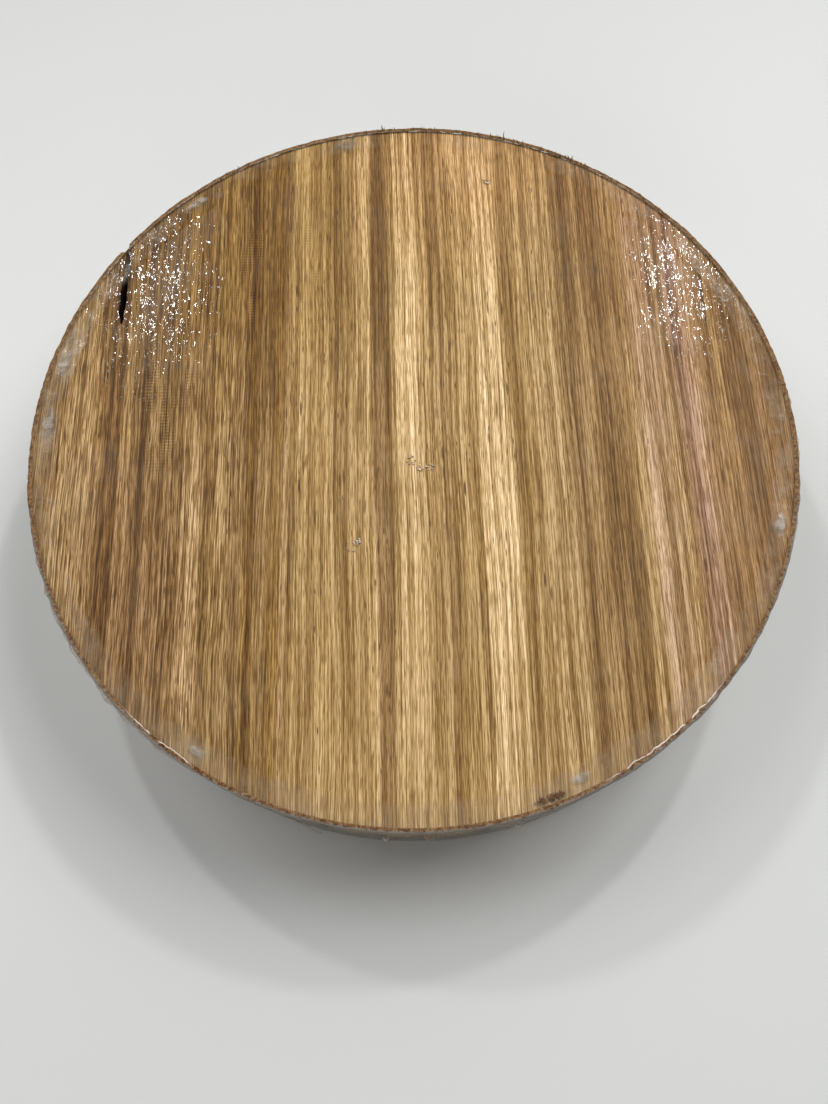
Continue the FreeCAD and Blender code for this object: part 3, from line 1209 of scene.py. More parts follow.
@dataclass(frozen=True)
class RimWax(Finish):
    """The rim's coat: hazy over the lap, stained by the wood at the corner, milky on the wall, with a painted
    highlight line along the near edge.

    Args:
        inner: where the lap starts, in millimetres from Z.
        edge: the wood's radius in millimetres.
        top: height of the lap in millimetres.
        crack: the zone round the crack's mouth, where the wax is clear.
        glossy: zones of the near edge that kept a smooth rim of wax, where a painted highlight line is also
            drawn.
        milky: zones where the lap set milky, with how much more it hides there.
    """

    inner: float = 117.0
    edge: float = 127.0
    top: float = 52.4
    crack: Zone = Zone(-89.0, 88.0, 1.6, 9.0, 0.3)
    glossy: tuple[Zone, ...] = (Zone(76.0, -101.0, 24.0, 17.0, 0.3), Zone(-70.0, -104.0, 24.0, 16.0, 0.3))
    milky: tuple[tuple[Zone, float], ...] = (
        (Zone(-116.0, 35.0, 7.0, 15.0, 0.6), 0.50),
        (Zone(-122.0, 9.0, 4.0, 10.0, 0.6), 0.30),
        (Zone(-91.0, 83.0, 5.0, 4.0, 0.6), 0.18),
        (Zone(40.0, -117.5, 10.0, 4.0, 0.6), 0.42),
        (Zone(83.0, -88.0, 12.0, 9.0, 0.6), 0.26),
        (Zone(-68.0, -98.0, 12.0, 8.0, 0.6), 0.20),
    )

    def lap(self, w: Wiring, place: Feed, reach: Feed, rough: Feed, cloud: Feed) -> bpy.types.NodeSocket:
        """How much the lap hides: hazy all round, whiter at the near rim and in the milky zones.

        Args:
            w: the material's wiring.
            place: the place on the blank in millimetres.
            reach: the distance from Z.
            rough: noise that frays the lap's inner edge.
            cloud: the cloudiness of the wax.

        Returns:
            Its cover, from 0 to 1.
        """
        near = w.between(w.node("SeparateXYZ", {0: place}).outputs[1], -40.0, -110.0)
        fleck = w.apply(wax_cloud(), {"Place": place, "Size": 5.0, "Thin": 0.5, "Thick": 0.74}).outputs[0]
        ragged = w.math("ADD", reach, w.math("MULTIPLY_ADD", rough, 5.0, -2.5))
        start = w.between(ragged, self.inner + 0.6, self.inner + 4.0)
        cover = w.math("MULTIPLY_ADD", cloud, 0.12, 0.04)
        cover = w.math("ADD", cover, w.math("MULTIPLY", near, 0.10))
        cover = w.math("ADD", cover, w.math("MULTIPLY", fleck, 0.12))
        for zone, gain in self.milky:
            patch = w.apply(oval_patch(), zone.inputs(place)).outputs[0]
            more = w.math("MULTIPLY_ADD", cloud, gain, 0.3 * gain)
            cover = w.math("ADD", cover, w.math("MULTIPLY", patch, more))
        seen = w.apply(oval_patch(), self.crack.inputs(place)).outputs[0]
        return w.math("MULTIPLY", w.math("MULTIPLY", cover, start), w.math("MULTIPLY_ADD", seen, -0.8, 1.0))

    def painted_glint(self, w: Wiring, place: Feed, reach: Feed) -> bpy.types.NodeSocket:
        """A painted highlight: a thin broken pale line that wanders along the edge, drawn where light would
        catch the wax's rim.

        Args:
            w: the material's wiring.
            place: the place on the blank in millimetres.
            reach: the distance from Z.

        Returns:
            Its mask, from 0 to 1.
        """
        wave = w.noise(place, 0.16, 2.0)
        wander = w.math("MULTIPLY_ADD", wave, 3.0, -1.5)
        away = w.math("ABSOLUTE", w.math("SUBTRACT", w.math("ADD", reach, wander), self.edge - 0.5))
        return w.math("MULTIPLY", w.between(away, 0.08, 0.24, 1.0, 0.0), w.between(wave, 0.40, 0.52))

    def build(self) -> bpy.types.Material:
        """Makes the material.

        Returns:
            The coat's material.
        """
        material, w, surface, place = self.start()
        x, y, z = w.node("SeparateXYZ", {0: place}).outputs
        reach = w.node("VectorMath", {0: w.node("CombineXYZ", {0: x, 1: y}).outputs[0]},
                       operation="LENGTH").outputs["Value"]
        rough = w.noise(place, 0.35, 3.0, 0.6)
        grit = w.noise(place, 1.1, 3.0, 0.7)
        cloud = w.apply(wax_cloud(), {"Place": place, "Size": 16.0, "Thin": 0.42, "Thick": 0.68}).outputs[0]
        above = w.between(z, self.top - 3.0, self.top - 1.6)
        frayed = w.math("ADD", reach, w.math("MULTIPLY_ADD", grit, 2.4, -1.2))
        outside = w.between(reach, self.edge - 0.9, self.edge - 0.5)
        corner = w.math("MAXIMUM", w.between(frayed, self.edge - 0.5, self.edge + 0.1), outside)
        corner = w.math("MULTIPLY", corner, above)
        stain = w.math("MAXIMUM", w.between(grit, 0.36, 0.52, 0.95, 0.62), outside)
        wall = w.math("MULTIPLY_ADD", cloud, 0.14, 0.34)
        side = w.math("MULTIPLY", w.between(reach, self.edge - 0.2, self.edge + 0.3),
                      w.math("SUBTRACT", 1.0, above))
        smooth = any_patch(w, place, self.glossy)
        # painted highlight line: near white, only in the glossy zones of the upper edge
        painted_glint = w.math("MULTIPLY", w.math("MULTIPLY", self.painted_glint(w, place, reach), smooth), above)
        covers = [w.math("MULTIPLY", corner, stain), w.math("MULTIPLY", side, wall),
                  self.lap(w, place, reach, rough, cloud), w.math("MULTIPLY", painted_glint, 0.7)]
        stained = w.ramp(grit, ((0.35, Tone.PORE), (0.45, Tone.EDGE), (0.56, Tone.NUT), (0.68, Tone.TAN)))
        cloudy = w.mix(w.math("MULTIPLY", cloud, 0.45), Tone.GREY_WAX, Tone.WAX)
        tone = w.mix(corner, w.mix(side, Tone.HAZE, cloudy), stained)
        nearer = w.between(w.math("ADD", y, w.math("MULTIPLY", rough, 60.0)), 10.0, -10.0)
        fringe = w.math("MULTIPLY", w.between(frayed, self.edge + 0.1, self.edge + 0.6), nearer)
        tone = w.mix(w.math("MULTIPLY", fringe, corner), tone, Tone.GREY_WAX)
        # the painted highlight line is drawn over the coat's tone in near white
        w.feed(surface.inputs["Base Color"], w.mix(painted_glint, tone, Tone.CHALK))
        w.feed(surface.inputs["Alpha"], w.highest(covers))
        dull = w.math("MULTIPLY", w.between(reach, self.edge - 2.2, self.edge - 1.2), above)
        dull = w.math("MULTIPLY", dull, w.math("SUBTRACT", 1.0, smooth))
        w.feed(surface.inputs["Roughness"], w.math("MULTIPLY_ADD", dull, 0.6, 0.2))
        ripple = w.apply(wax_ripple(), {"Place": place, "Size": 3.0}).outputs[0]
        self.roughen(w, surface, ripple, 0.18 * MM)
        return material


@dataclass(frozen=True)
class PuddleWax(Finish):
    """Milky wax on the lap, clearer where it thins out at its edges.

    Args:
        base: the height where it is thinnest, in millimetres.
        depth: its full thickness in millimetres.
        thick: how much it hides at its thickest.
    """

    base: float = 52.4
    depth: float = 0.4
    thick: float = 0.6

    def build(self) -> bpy.types.Material:
        """Makes the material.

        Returns:
            The wax's material.
        """
        material, w, surface, place = self.start()
        z = w.node("SeparateXYZ", {0: place}).outputs[2]
        cloud = w.apply(wax_cloud(), {"Place": place, "Size": 5.0, "Thin": 0.35, "Thick": 0.7}).outputs[0]
        thickness = w.between(z, self.base, self.base + self.depth)
        w.feed(surface.inputs["Base Color"], w.mix(cloud, Tone.GREY_WAX, Tone.WAX))
        w.feed(surface.inputs["Alpha"], w.math("MULTIPLY", w.math("MULTIPLY", thickness, self.thick),
                                               w.math("MULTIPLY_ADD", cloud, 0.6, 0.4)))
        surface.inputs["Roughness"].default_value = 0.22
        ripple = w.apply(wax_ripple(), {"Place": place, "Size": 2.4}).outputs[0]
        self.roughen(w, surface, ripple, 0.12 * MM)
        return material


@dataclass(frozen=True)
class PaleFloor(Finish):
    """The pale floor of the studio, darker towards the far side with painted shade."""

    def build(self) -> bpy.types.Material:
        """Makes the material.

        Returns:
            The floor's material.
        """
        material, w, surface, place = self.start()
        shade = w.noise(place, 0.004, 2.0)
        y = w.node("SeparateXYZ", {0: place}).outputs[1]
        # painted shade: the floor darkens towards the far side, broken up by broad noise
        far = w.math("ADD", w.between(y, 0.0, 420.0), w.math("MULTIPLY_ADD", shade, 0.2, -0.1))
        w.feed(surface.inputs["Base Color"], w.mix(far, Tone.FLOOR, Tone.FAR_FLOOR))
        surface.inputs["Roughness"].default_value = 0.6
        return material


# ------------------------------------------------------------------ the timber
@dataclass
class Timber:
    """The sawn wood, with its drying crack and the notch at the crack's mouth.

    Args:
        blank: the blank's sizes.
        wood: the material of its faces.
        dark: the material inside the crack, a near-black painted shade.
        cells: grid faces across the upper face.
        rows: rows of faces down the sawn edge.
    """

    blank: Blank
    wood: bpy.types.Material
    dark: bpy.types.Material
    cells: int = 230
    rows: int = 26

    def build(self) -> bpy.types.Object:
        """Makes the wood and cuts the crack into it.

        Returns:
            The timber, seated on the frame.
        """
        b = self.blank
        flat, faces, edge = disc_grid(b.timber_radius, self.cells)
        ridges = waves(flat * (1.0, 0.07), 1, 2.6 * MM, spread=0.3)
        top = b.timber_top - 0.03 * MM + 0.025 * MM * np.clip(ridges, -1, 1)
        rim = [flat[i] for i in edge]
        turns = np.array([math.atan2(y, x) for x, y in rim])
        chips = np.clip(waves(np.array(rim), 3, 2.2 * MM), -1, 1)
        chips += np.clip(waves(np.array(rim), 4, 7.0 * MM), -1, 1)
        bitten = flat.copy()
        for i, chip in zip(edge, chips):
            bitten[i] *= 1 - max(0.0, 0.22 * chip + 0.1) * MM / b.timber_radius
        points = [tuple(p) for p in np.column_stack([bitten, top])]
        before = edge
        count = len(edge)
        for row in range(1, self.rows + 1):
            share = row / self.rows
            z = b.timber_top + (b.timber_bottom - b.timber_top) * share
            spots = np.column_stack([turns * b.timber_radius, np.full(count, z * 0.15)])
            chatter = 0.09 * MM * waves(spots, 2, 2.4 * MM, spread=0.25) * (0 < row < self.rows)
            first = len(points)
            for (x, y), dent in zip(rim, chatter):
                scale = 1 - (0.1 * MM + dent) / b.timber_radius * (row < self.rows)
                points.append((x * scale, y * scale, z))
            after = list(range(first, first + count))
            faces += [(before[k], after[k], after[(k + 1) % count], before[(k + 1) % count])
                      for k in range(count)]
            before = after
        faces.append(tuple(reversed(before)))
        piece = new_piece("timber", points, faces, [self.wood])
        face_outwards(piece)
        for tool in (crack_tool(b, self.dark), notch_tool(b, self.dark)):
            carve(piece, tool)
            discard(tool)
        return seat(piece, Slot.TIMBER, "timber_disc")


@dataclass(frozen=True)
class CrackPlace:
    """Where the crack lies, in metres.

    Args:
        x: its place across the grain.
        mouth: where it opens on the rim, along the grain.
        tip: its inner end, along the grain.
    """

    x: float
    mouth: float
    tip: float

    @classmethod
    def from_frame(cls) -> "CrackPlace":
        """Finds the crack's slit in the edge of the CAD film.

        Returns:
            The crack's place.
        """
        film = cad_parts["top_wax_film"].data
        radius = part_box("top_wax_film")[1].x
        inside = [v.co for v in film.vertices if 0.3 * radius < v.co.xy.length < 0.995 * radius]
        tip = min(inside, key=lambda p: p.y)
        x = sum(p.x for p in inside) / len(inside)
        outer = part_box("timber_disc")[1].x
        return cls(x=x, mouth=math.sqrt(outer * outer - x * x), tip=tip.y)


def crack_tool(blank: Blank, dark: bpy.types.Material, ease: float = 0.0) -> bpy.types.Object:
    """The room inside the drying crack: ragged walls that close in with depth.

    Args:
        blank: the blank's sizes.
        dark: the material of the walls, a near-black painted shade.
        ease: widens it at each side, in metres.

    Returns:
        A closed tool.
    """
    crack = CrackPlace.from_frame()
    dice = np.random.default_rng(17)
    stations = 17
    reach = crack.mouth - crack.tip
    levels = ((1.2 * MM, 1.0), (-1.2 * MM, 0.95), (-5.0 * MM, 0.6), (-15.5 * MM, 0.12))
    floor = len(levels) - 1
    points: list[tuple[float, float, float]] = []
    for i in range(stations):
        share = i / (stations - 1)
        y = crack.mouth + 2.0 * MM - share * (reach + 2.0 * MM)
        open_width = (1.2 + 1.0 * min(1.0, 2.2 * share)) * MM * (1 - 0.8 * share ** 12)
        sway = 0.25 * MM * math.sin(5.0 * share + 0.6) + dice.normal(0, 0.07 * MM)
        left, right = (max(0.04 * MM, open_width / 2 * dice.uniform(0.8, 1.15)) + ease for _ in range(2))
        for level, (depth, close) in enumerate(levels):
            z = blank.timber_top + (depth if level < floor else depth * (1 - 0.5 * share))
            lean = 0.3 * MM * level
            points.append((crack.x + sway + lean - left * close, y, z))
            points.append((crack.x + sway + lean + right * close, y, z))
    row = 2 * len(levels)
    faces: list[tuple[int, ...]] = []
    for i in range(stations - 1):
        a, c = i * row, (i + 1) * row
        faces.append((a, a + 1, c + 1, c))
        faces.append((a + row - 2, c + row - 2, c + row - 1, a + row - 1))
        for level in range(floor):
            k = 2 * level
            faces.append((a + k, c + k, c + k + 2, a + k + 2))
            faces.append((a + k + 1, a + k + 3, c + k + 3, c + k + 1))
    for a in (0, (stations - 1) * row):
        faces.append(tuple([a + k for k in range(0, row, 2)] + [a + k for k in range(row - 1, 0, -2)]))
    tool = new_piece("crack_room", points, faces, [dark], smooth=False)
    face_outwards(tool)
    return tool


def notch_tool(blank: Blank, dark: bpy.types.Material) -> bpy.types.Object:
    """The ragged notch where the crack opens at the rim.

    Args:
        blank: the blank's sizes.
        dark: the material of its walls, near black: painted shade in the notch, and dirt.

    Returns:
        A closed tool.
    """
    crack = CrackPlace.from_frame()
    centre = Vector((crack.x, crack.mouth, 0)).normalized() * blank.coat_radius
    centre.z = blank.lap_top
    shape = bmesh.new()
    bmesh.ops.create_icosphere(shape, subdivisions=3, radius=1.0)
    spots = np.array([vertex.co for vertex in shape.verts])
    lump = waves(spots, 29, 1.3, spread=0.3)
    for vertex, height in zip(shape.verts, lump):
        reach = vertex.co * (2.1 * MM * (1 + 0.22 * height))
        vertex.co = centre + Vector((reach.x, reach.y, reach.z * 1.1))
    mesh = bpy.data.meshes.new("notch_room")
    shape.to_mesh(mesh)
    shape.free()
    mesh.materials.append(dark)
    tool = bpy.data.objects.new("notch_room", mesh)
    bpy.context.scene.collection.objects.link(tool)
    return tool


# ------------------------------------------------------------------ the wax coats
@dataclass
class FaceFilms:
    """The clear film on the upper face, and the flat wax of the underside.

    Args:
        blank: the blank's sizes.
        clear: the upper film's material.
        under: the underside's material.
        dark: the material of the crack's walls, a near-black painted shade.
        cells: grid faces across each film.
    """

    blank: Blank
    clear: bpy.types.Material
    under: bpy.types.Material
    dark: bpy.types.Material
    cells: int = 170

    def sheet(self, name: str, radius: float, low: float, high: float, relief: float, upper: bool,
              material: bpy.types.Material) -> bpy.types.Object:
        """A thin round sheet with one lumpy face.

        Args:
            name: the piece's name.
            radius: its radius.
            low: height of its lower face.
            high: height of its upper face.
            relief: height of the lumps.
            upper: whether they are on the upper face.
            material: its material.

        Returns:
            The sheet.
        """
        flat, faces, edge = disc_grid(radius, self.cells)
        lumpy = np.clip(waves(flat * (1.0, 0.4), 5, 5.0 * MM), -1, 1) * 0.6
        lumpy += np.clip(waves(flat, 6, 14.0 * MM), -1, 1) * 0.4
        bumpy = (high if upper else low) + relief * lumpy * (1 if upper else -1)
        plain = np.full(len(flat), low if upper else high)
        count = len(flat)
        points = np.vstack([np.column_stack([flat, bumpy]), np.column_stack([flat, plain])])
        faces = faces + [tuple(count + k for k in reversed(face)) for face in faces]
        faces += [(edge[k], edge[k - 1], count + edge[k - 1], count + edge[k]) for k in range(len(edge))]
        piece = new_piece(name, points, faces, [material])
        face_outwards(piece)
        return piece

    def build(self) -> list[bpy.types.Object]:
        """Makes both films.

        Returns:
            The films, seated on the frame.
        """
        b = self.blank
        top = self.sheet("top_film", b.film_radius + 0.6 * MM, b.timber_top - 0.2 * MM,
                         b.film_top - 0.06 * MM, 0.05 * MM, True, self.clear)
        tool = crack_tool(b, self.dark, 0.15 * MM)
        carve(top, tool)
        discard(tool)
        under = self.sheet("under_film", b.film_radius + 0.6 * MM, 0.0, b.timber_bottom + 0.2 * MM,
                           0.0, False, self.under)
        return [seat(top, Slot.CLEAR_WAX, "top_wax_film"), seat(under, Slot.CLEAR_WAX, "bottom_wax_film")]


@dataclass
class RimCoat:
    """The thick milky coat: a lap over each face and a wall between, all one skin of wax.

    Args:
        blank: the blank's sizes.
        wax: its material.
        dark: the material of the notch's walls, near black: painted shade in the notch, and dirt.
        steps: faces round the rim.
    """

    blank: Blank
    wax: bpy.types.Material
    dark: bpy.types.Material
    steps: int = 900

    def section(self) -> list[tuple[float, float, float, float]]:
        """The half section, from the upper lap's inner edge round to the start.

        Returns:
            For each point its distance from Z, its height, and how far lumps push it out and up.
        """
        b = self.blank
        line: list[tuple[float, float, float, float]] = []
        inner, outer = b.film_radius, b.coat_radius
        line.append((inner - 1.0 * MM, b.timber_top - 0.1 * MM, 0.0, 0.0))
        for share in np.linspace(0, 1, 5):
            rise = (b.lap_top - b.film_top) * (share * share * (3 - 2 * share))
            line.append((inner + (-0.6 + 2.4 * share) * MM, b.film_top + rise - 0.1 * MM, 0.0, 0.35))
        for r in np.linspace(inner + 2.6 * MM, outer - 1.3 * MM, 9):
            line.append((r, b.lap_top - 0.1 * MM, 0.0, 1.0))
        for turn in np.linspace(math.pi / 2, 0, 6):
            line.append((outer - MM + MM * math.cos(turn), b.lap_top - 1.1 * MM + MM * math.sin(turn),
                         math.cos(turn), math.sin(turn)))
        for z in np.linspace(b.lap_top - 2.4 * MM, 2.4 * MM, 34):
            line.append((outer, z, 1.0, 0.0))
        for turn in np.linspace(0, -math.pi / 2, 6):
            line.append((outer - MM + MM * math.cos(turn), MM + MM * math.sin(turn),
                         math.cos(turn) * 0.6, 0.0))
        for r in np.linspace(outer - 2.0 * MM, inner, 5):
            line.append((r, 0.0, 0.0, 0.0))
        line.append((inner, b.timber_bottom + 0.1 * MM, 0.0, 0.0))
        line.append((b.timber_radius - 0.3 * MM, b.timber_bottom + 0.1 * MM, 0.0, 0.0))
        line.append((b.timber_radius - 0.3 * MM, b.timber_top - 0.1 * MM, 0.0, 0.0))
        return line

    @staticmethod
    def sweep(turns: np.ndarray, reach: np.ndarray, height: np.ndarray) -> np.ndarray:
        """The points of the section at each turn round Z.

        Args:
            turns: the angles.
            reach: each point's distance from Z, one row to an angle.
            height: each point's height.

        Returns:
            The points, one to a row.
        """
        x, y = np.cos(turns)[:, None] * reach, np.sin(turns)[:, None] * reach
        return np.stack([x, y, height], axis=-1).reshape(-1, 3)

    def build(self) -> bpy.types.Object:
        """Makes the coat.

        Returns:
            The coat, seated on the frame.
        """
        line = self.section()
        count = len(line)
        turns = np.linspace(0, math.tau, self.steps, endpoint=False)
        r, z, push_out, push_up = (np.array(column) for column in zip(*line))
        grid_r = np.repeat(r[None, :], self.steps, 0)
        grid_z = np.repeat(z[None, :], self.steps, 0)
        spots = self.sweep(turns, grid_r, grid_z)
        small = np.clip(waves(spots, 7, 3.2 * MM), -1, 1).reshape(self.steps, count)
        broad = np.clip(waves(spots * (1, 1, 0.35), 8, 13 * MM), -1, 1).reshape(self.steps, count)
        lump = 0.45 * small + 0.55 * broad
        ring = np.column_stack([np.cos(turns), np.sin(turns)]) * self.blank.coat_radius
        ragged = np.clip(waves(ring, 9, 17 * MM), -1, 1) * 0.8
        ragged += np.clip(waves(ring, 10, 5 * MM), -1, 1) * 0.25
        near_edge = np.clip(1 - (r - self.blank.film_radius) / (5 * MM), 0, 1) * (z > self.blank.timber_top)
        grid_r += push_out * (0.3 * lump - 0.18) * MM + near_edge * ragged[:, None] * MM
        grid_z += push_up * 0.11 * lump * MM
        points = self.sweep(turns, grid_r, grid_z)
        faces = []
        for i in range(self.steps):
            a, c = i * count, ((i + 1) % self.steps) * count
            faces += [(a + k, a + (k + 1) % count, c + (k + 1) % count, c + k) for k in range(count)]
        piece = new_piece("rim_coat", points, faces, [self.wax])
        face_outwards(piece)
        tool = notch_tool(self.blank, self.dark)
        carve(piece, tool)
        discard(tool)
        return seat(piece, Slot.MILKY_WAX, "rim_wax_band")


# ------------------------------------------------------------------ wax that ran, set and peeled
@dataclass
class SetWax:
    """Everything that ran or dripped on the sawn edge: runs, brim, nub and peeled curl.

    Args:
        blank: the blank's sizes.
        wax: their material.
    """

    blank: Blank
    wax: bpy.types.Material

    def runs(self) -> bpy.types.Object:
        """Runs of wax that end in a drop.

        Returns:
            One piece with a skin for each run.
        """
        parts = []
        for number, run in enumerate(lumps("wax_runs")):
            dice = np.random.default_rng(100 + number)
            foot, head = run.low.z, run.high.z
            proud = run.outer - self.blank.coat_radius
            ball = 1.9 * MM
            stations = 18
            strand = Strand(14)
            sway = dice.uniform(-0.5, 0.5, 3)
            for i in range(stations):
                share = i / (stations - 1)
                z = foot + (head - foot) * share ** 1.15
                bend = MM * (sway[0] * math.sin(3 * share) + 0.4 * sway[1] * math.sin(8 * share))
                angle = run.angle + bend / self.blank.coat_radius
                drop = math.exp(-(((z - foot - ball) / (1.35 * ball)) ** 2))
                half = (0.75 * (1 - 0.75 * share) + 1.15 * drop) * MM
                half *= min(1.0, (z - foot) / (0.8 * MM) + 0.15)
                tall = proud * (0.5 * (1 - 0.7 * share) + 0.42 * drop) + 0.5 * MM
                strand.add(polar(self.blank.coat_radius - 0.5 * MM, angle, z), half, tall,
                           polar(1, angle + math.pi / 2), polar(1, angle))
            parts.append(strand.skin())
        return seat(merge_parts("set_runs", parts, self.wax), Slot.MILKY_WAX, "wax_runs")

    def brim(self) -> bpy.types.Object:
        """Ragged ledges of proud wax under the upper edge.

        Returns:
            One piece with a skin for each ledge.
        """
        parts = []
        for number, ledge in enumerate(lumps("wax_brim")):
            steps = int(ledge.sweep * self.blank.coat_radius / (0.9 * MM))
            spots = np.array([[i * 0.9 * MM, 0.0] for i in range(steps)])
            ragged = 0.62 + 0.38 * np.clip(waves(spots, 40 + number, 6 * MM), -1, 1)
            middle = (ledge.low.z + ledge.high.z) / 2
            proud = ledge.outer - self.blank.coat_radius
            strand = Strand(12)
            for i in range(steps):
                share = i / (steps - 1)
                angle = ledge.angle + (share - 0.5) * ledge.sweep
                ends = math.sin(math.pi * share) ** 0.35
                dip = 0.25 * MM * (ragged[i] - 0.6)
                strand.add(polar(self.blank.coat_radius - 0.4 * MM, angle, middle + dip),
                           (proud * ragged[i] + 0.4 * MM) * ends, 0.95 * MM * ends * (0.7 + 0.3 * ragged[i]),
                           polar(1, angle), Vector((0, 0, 1)))
            parts.append(strand.skin())
        return seat(merge_parts("set_brim", parts, self.wax), Slot.MILKY_WAX, "wax_brim")

    def nub(self) -> bpy.types.Object:
        """The one large drop at the near rim, drawn down to a blunt tail.

        Returns:
            The drop.
        """
        drop = lumps("wax_nub")[0]
        proud = drop.outer - self.blank.coat_radius
        stations = 14
        strand = Strand(16)
        for i in range(stations):
            share = i / (stations - 1)
            belly = math.sin(math.pi * share ** 0.7) ** 0.8
            z = drop.low.z + (drop.high.z - drop.low.z) * share
            strand.add(polar(self.blank.coat_radius - 0.6 * MM, drop.angle, z), 2.0 * MM * belly,
                       (proud + 0.6 * MM) * belly * 0.97, polar(1, drop.angle + math.pi / 2),
                       polar(1, drop.angle))
        return seat(merge_parts("set_nub", [strand.skin()], self.wax), Slot.MILKY_WAX, "wax_nub")

    def curl(self) -> bpy.types.Object:
        """A peeled flake that stands clear of the coat at one end, with a ragged lower edge.

        Returns:
            The flake.
        """
        flake = lumps("wax_curl")[0]
        steps, rows = 22, 8
        stand_off = flake.outer - self.blank.coat_radius
        skin = 0.16 * MM
        sheets: list[list[Vector]] = [[], []]
        for i in range(steps):
            share = i / (steps - 1)
            angle = flake.angle + (share - 0.5) * flake.sweep
            away = stand_off * (share ** 1.6) * 0.9
            ragged = 0.6 * math.sin(9 * share) + 0.3 * math.sin(23 * share + 1)
            for j in range(rows):
                drop = j / (rows - 1)
                z = flake.high.z - drop * (flake.high.z - flake.low.z - (0.8 + ragged) * MM * share)
                roll = 0.35 * MM * share * math.sin(math.pi * drop)
                for side, offset in enumerate((0.0, skin)):
                    r = self.blank.coat_radius - 0.25 * MM * (1 - share) + away - roll + offset
                    sheets[side].append(polar(min(r, flake.outer), angle, max(z, flake.low.z)))
        count = steps * rows
        points = sheets[0] + sheets[1]
        faces: list[tuple[int, ...]] = []
        for i in range(steps - 1):
            for j in range(rows - 1):
                a = i * rows + j
                faces.append((a, a + 1, a + rows + 1, a + rows))
                faces.append(tuple(count + k for k in (a, a + rows, a + rows + 1, a + 1)))
        loop = [i * rows for i in range(steps)] + [(steps - 1) * rows + j for j in range(1, rows)]
        loop += [i * rows + rows - 1 for i in range(steps - 2, -1, -1)] + [j for j in range(rows - 2, 0, -1)]
        faces += [(loop[k], loop[k - 1], count + loop[k - 1], count + loop[k]) for k in range(len(loop))]
        return seat(merge_parts("peeled_curl", [(points, faces)], self.wax), Slot.MILKY_WAX, "wax_curl")


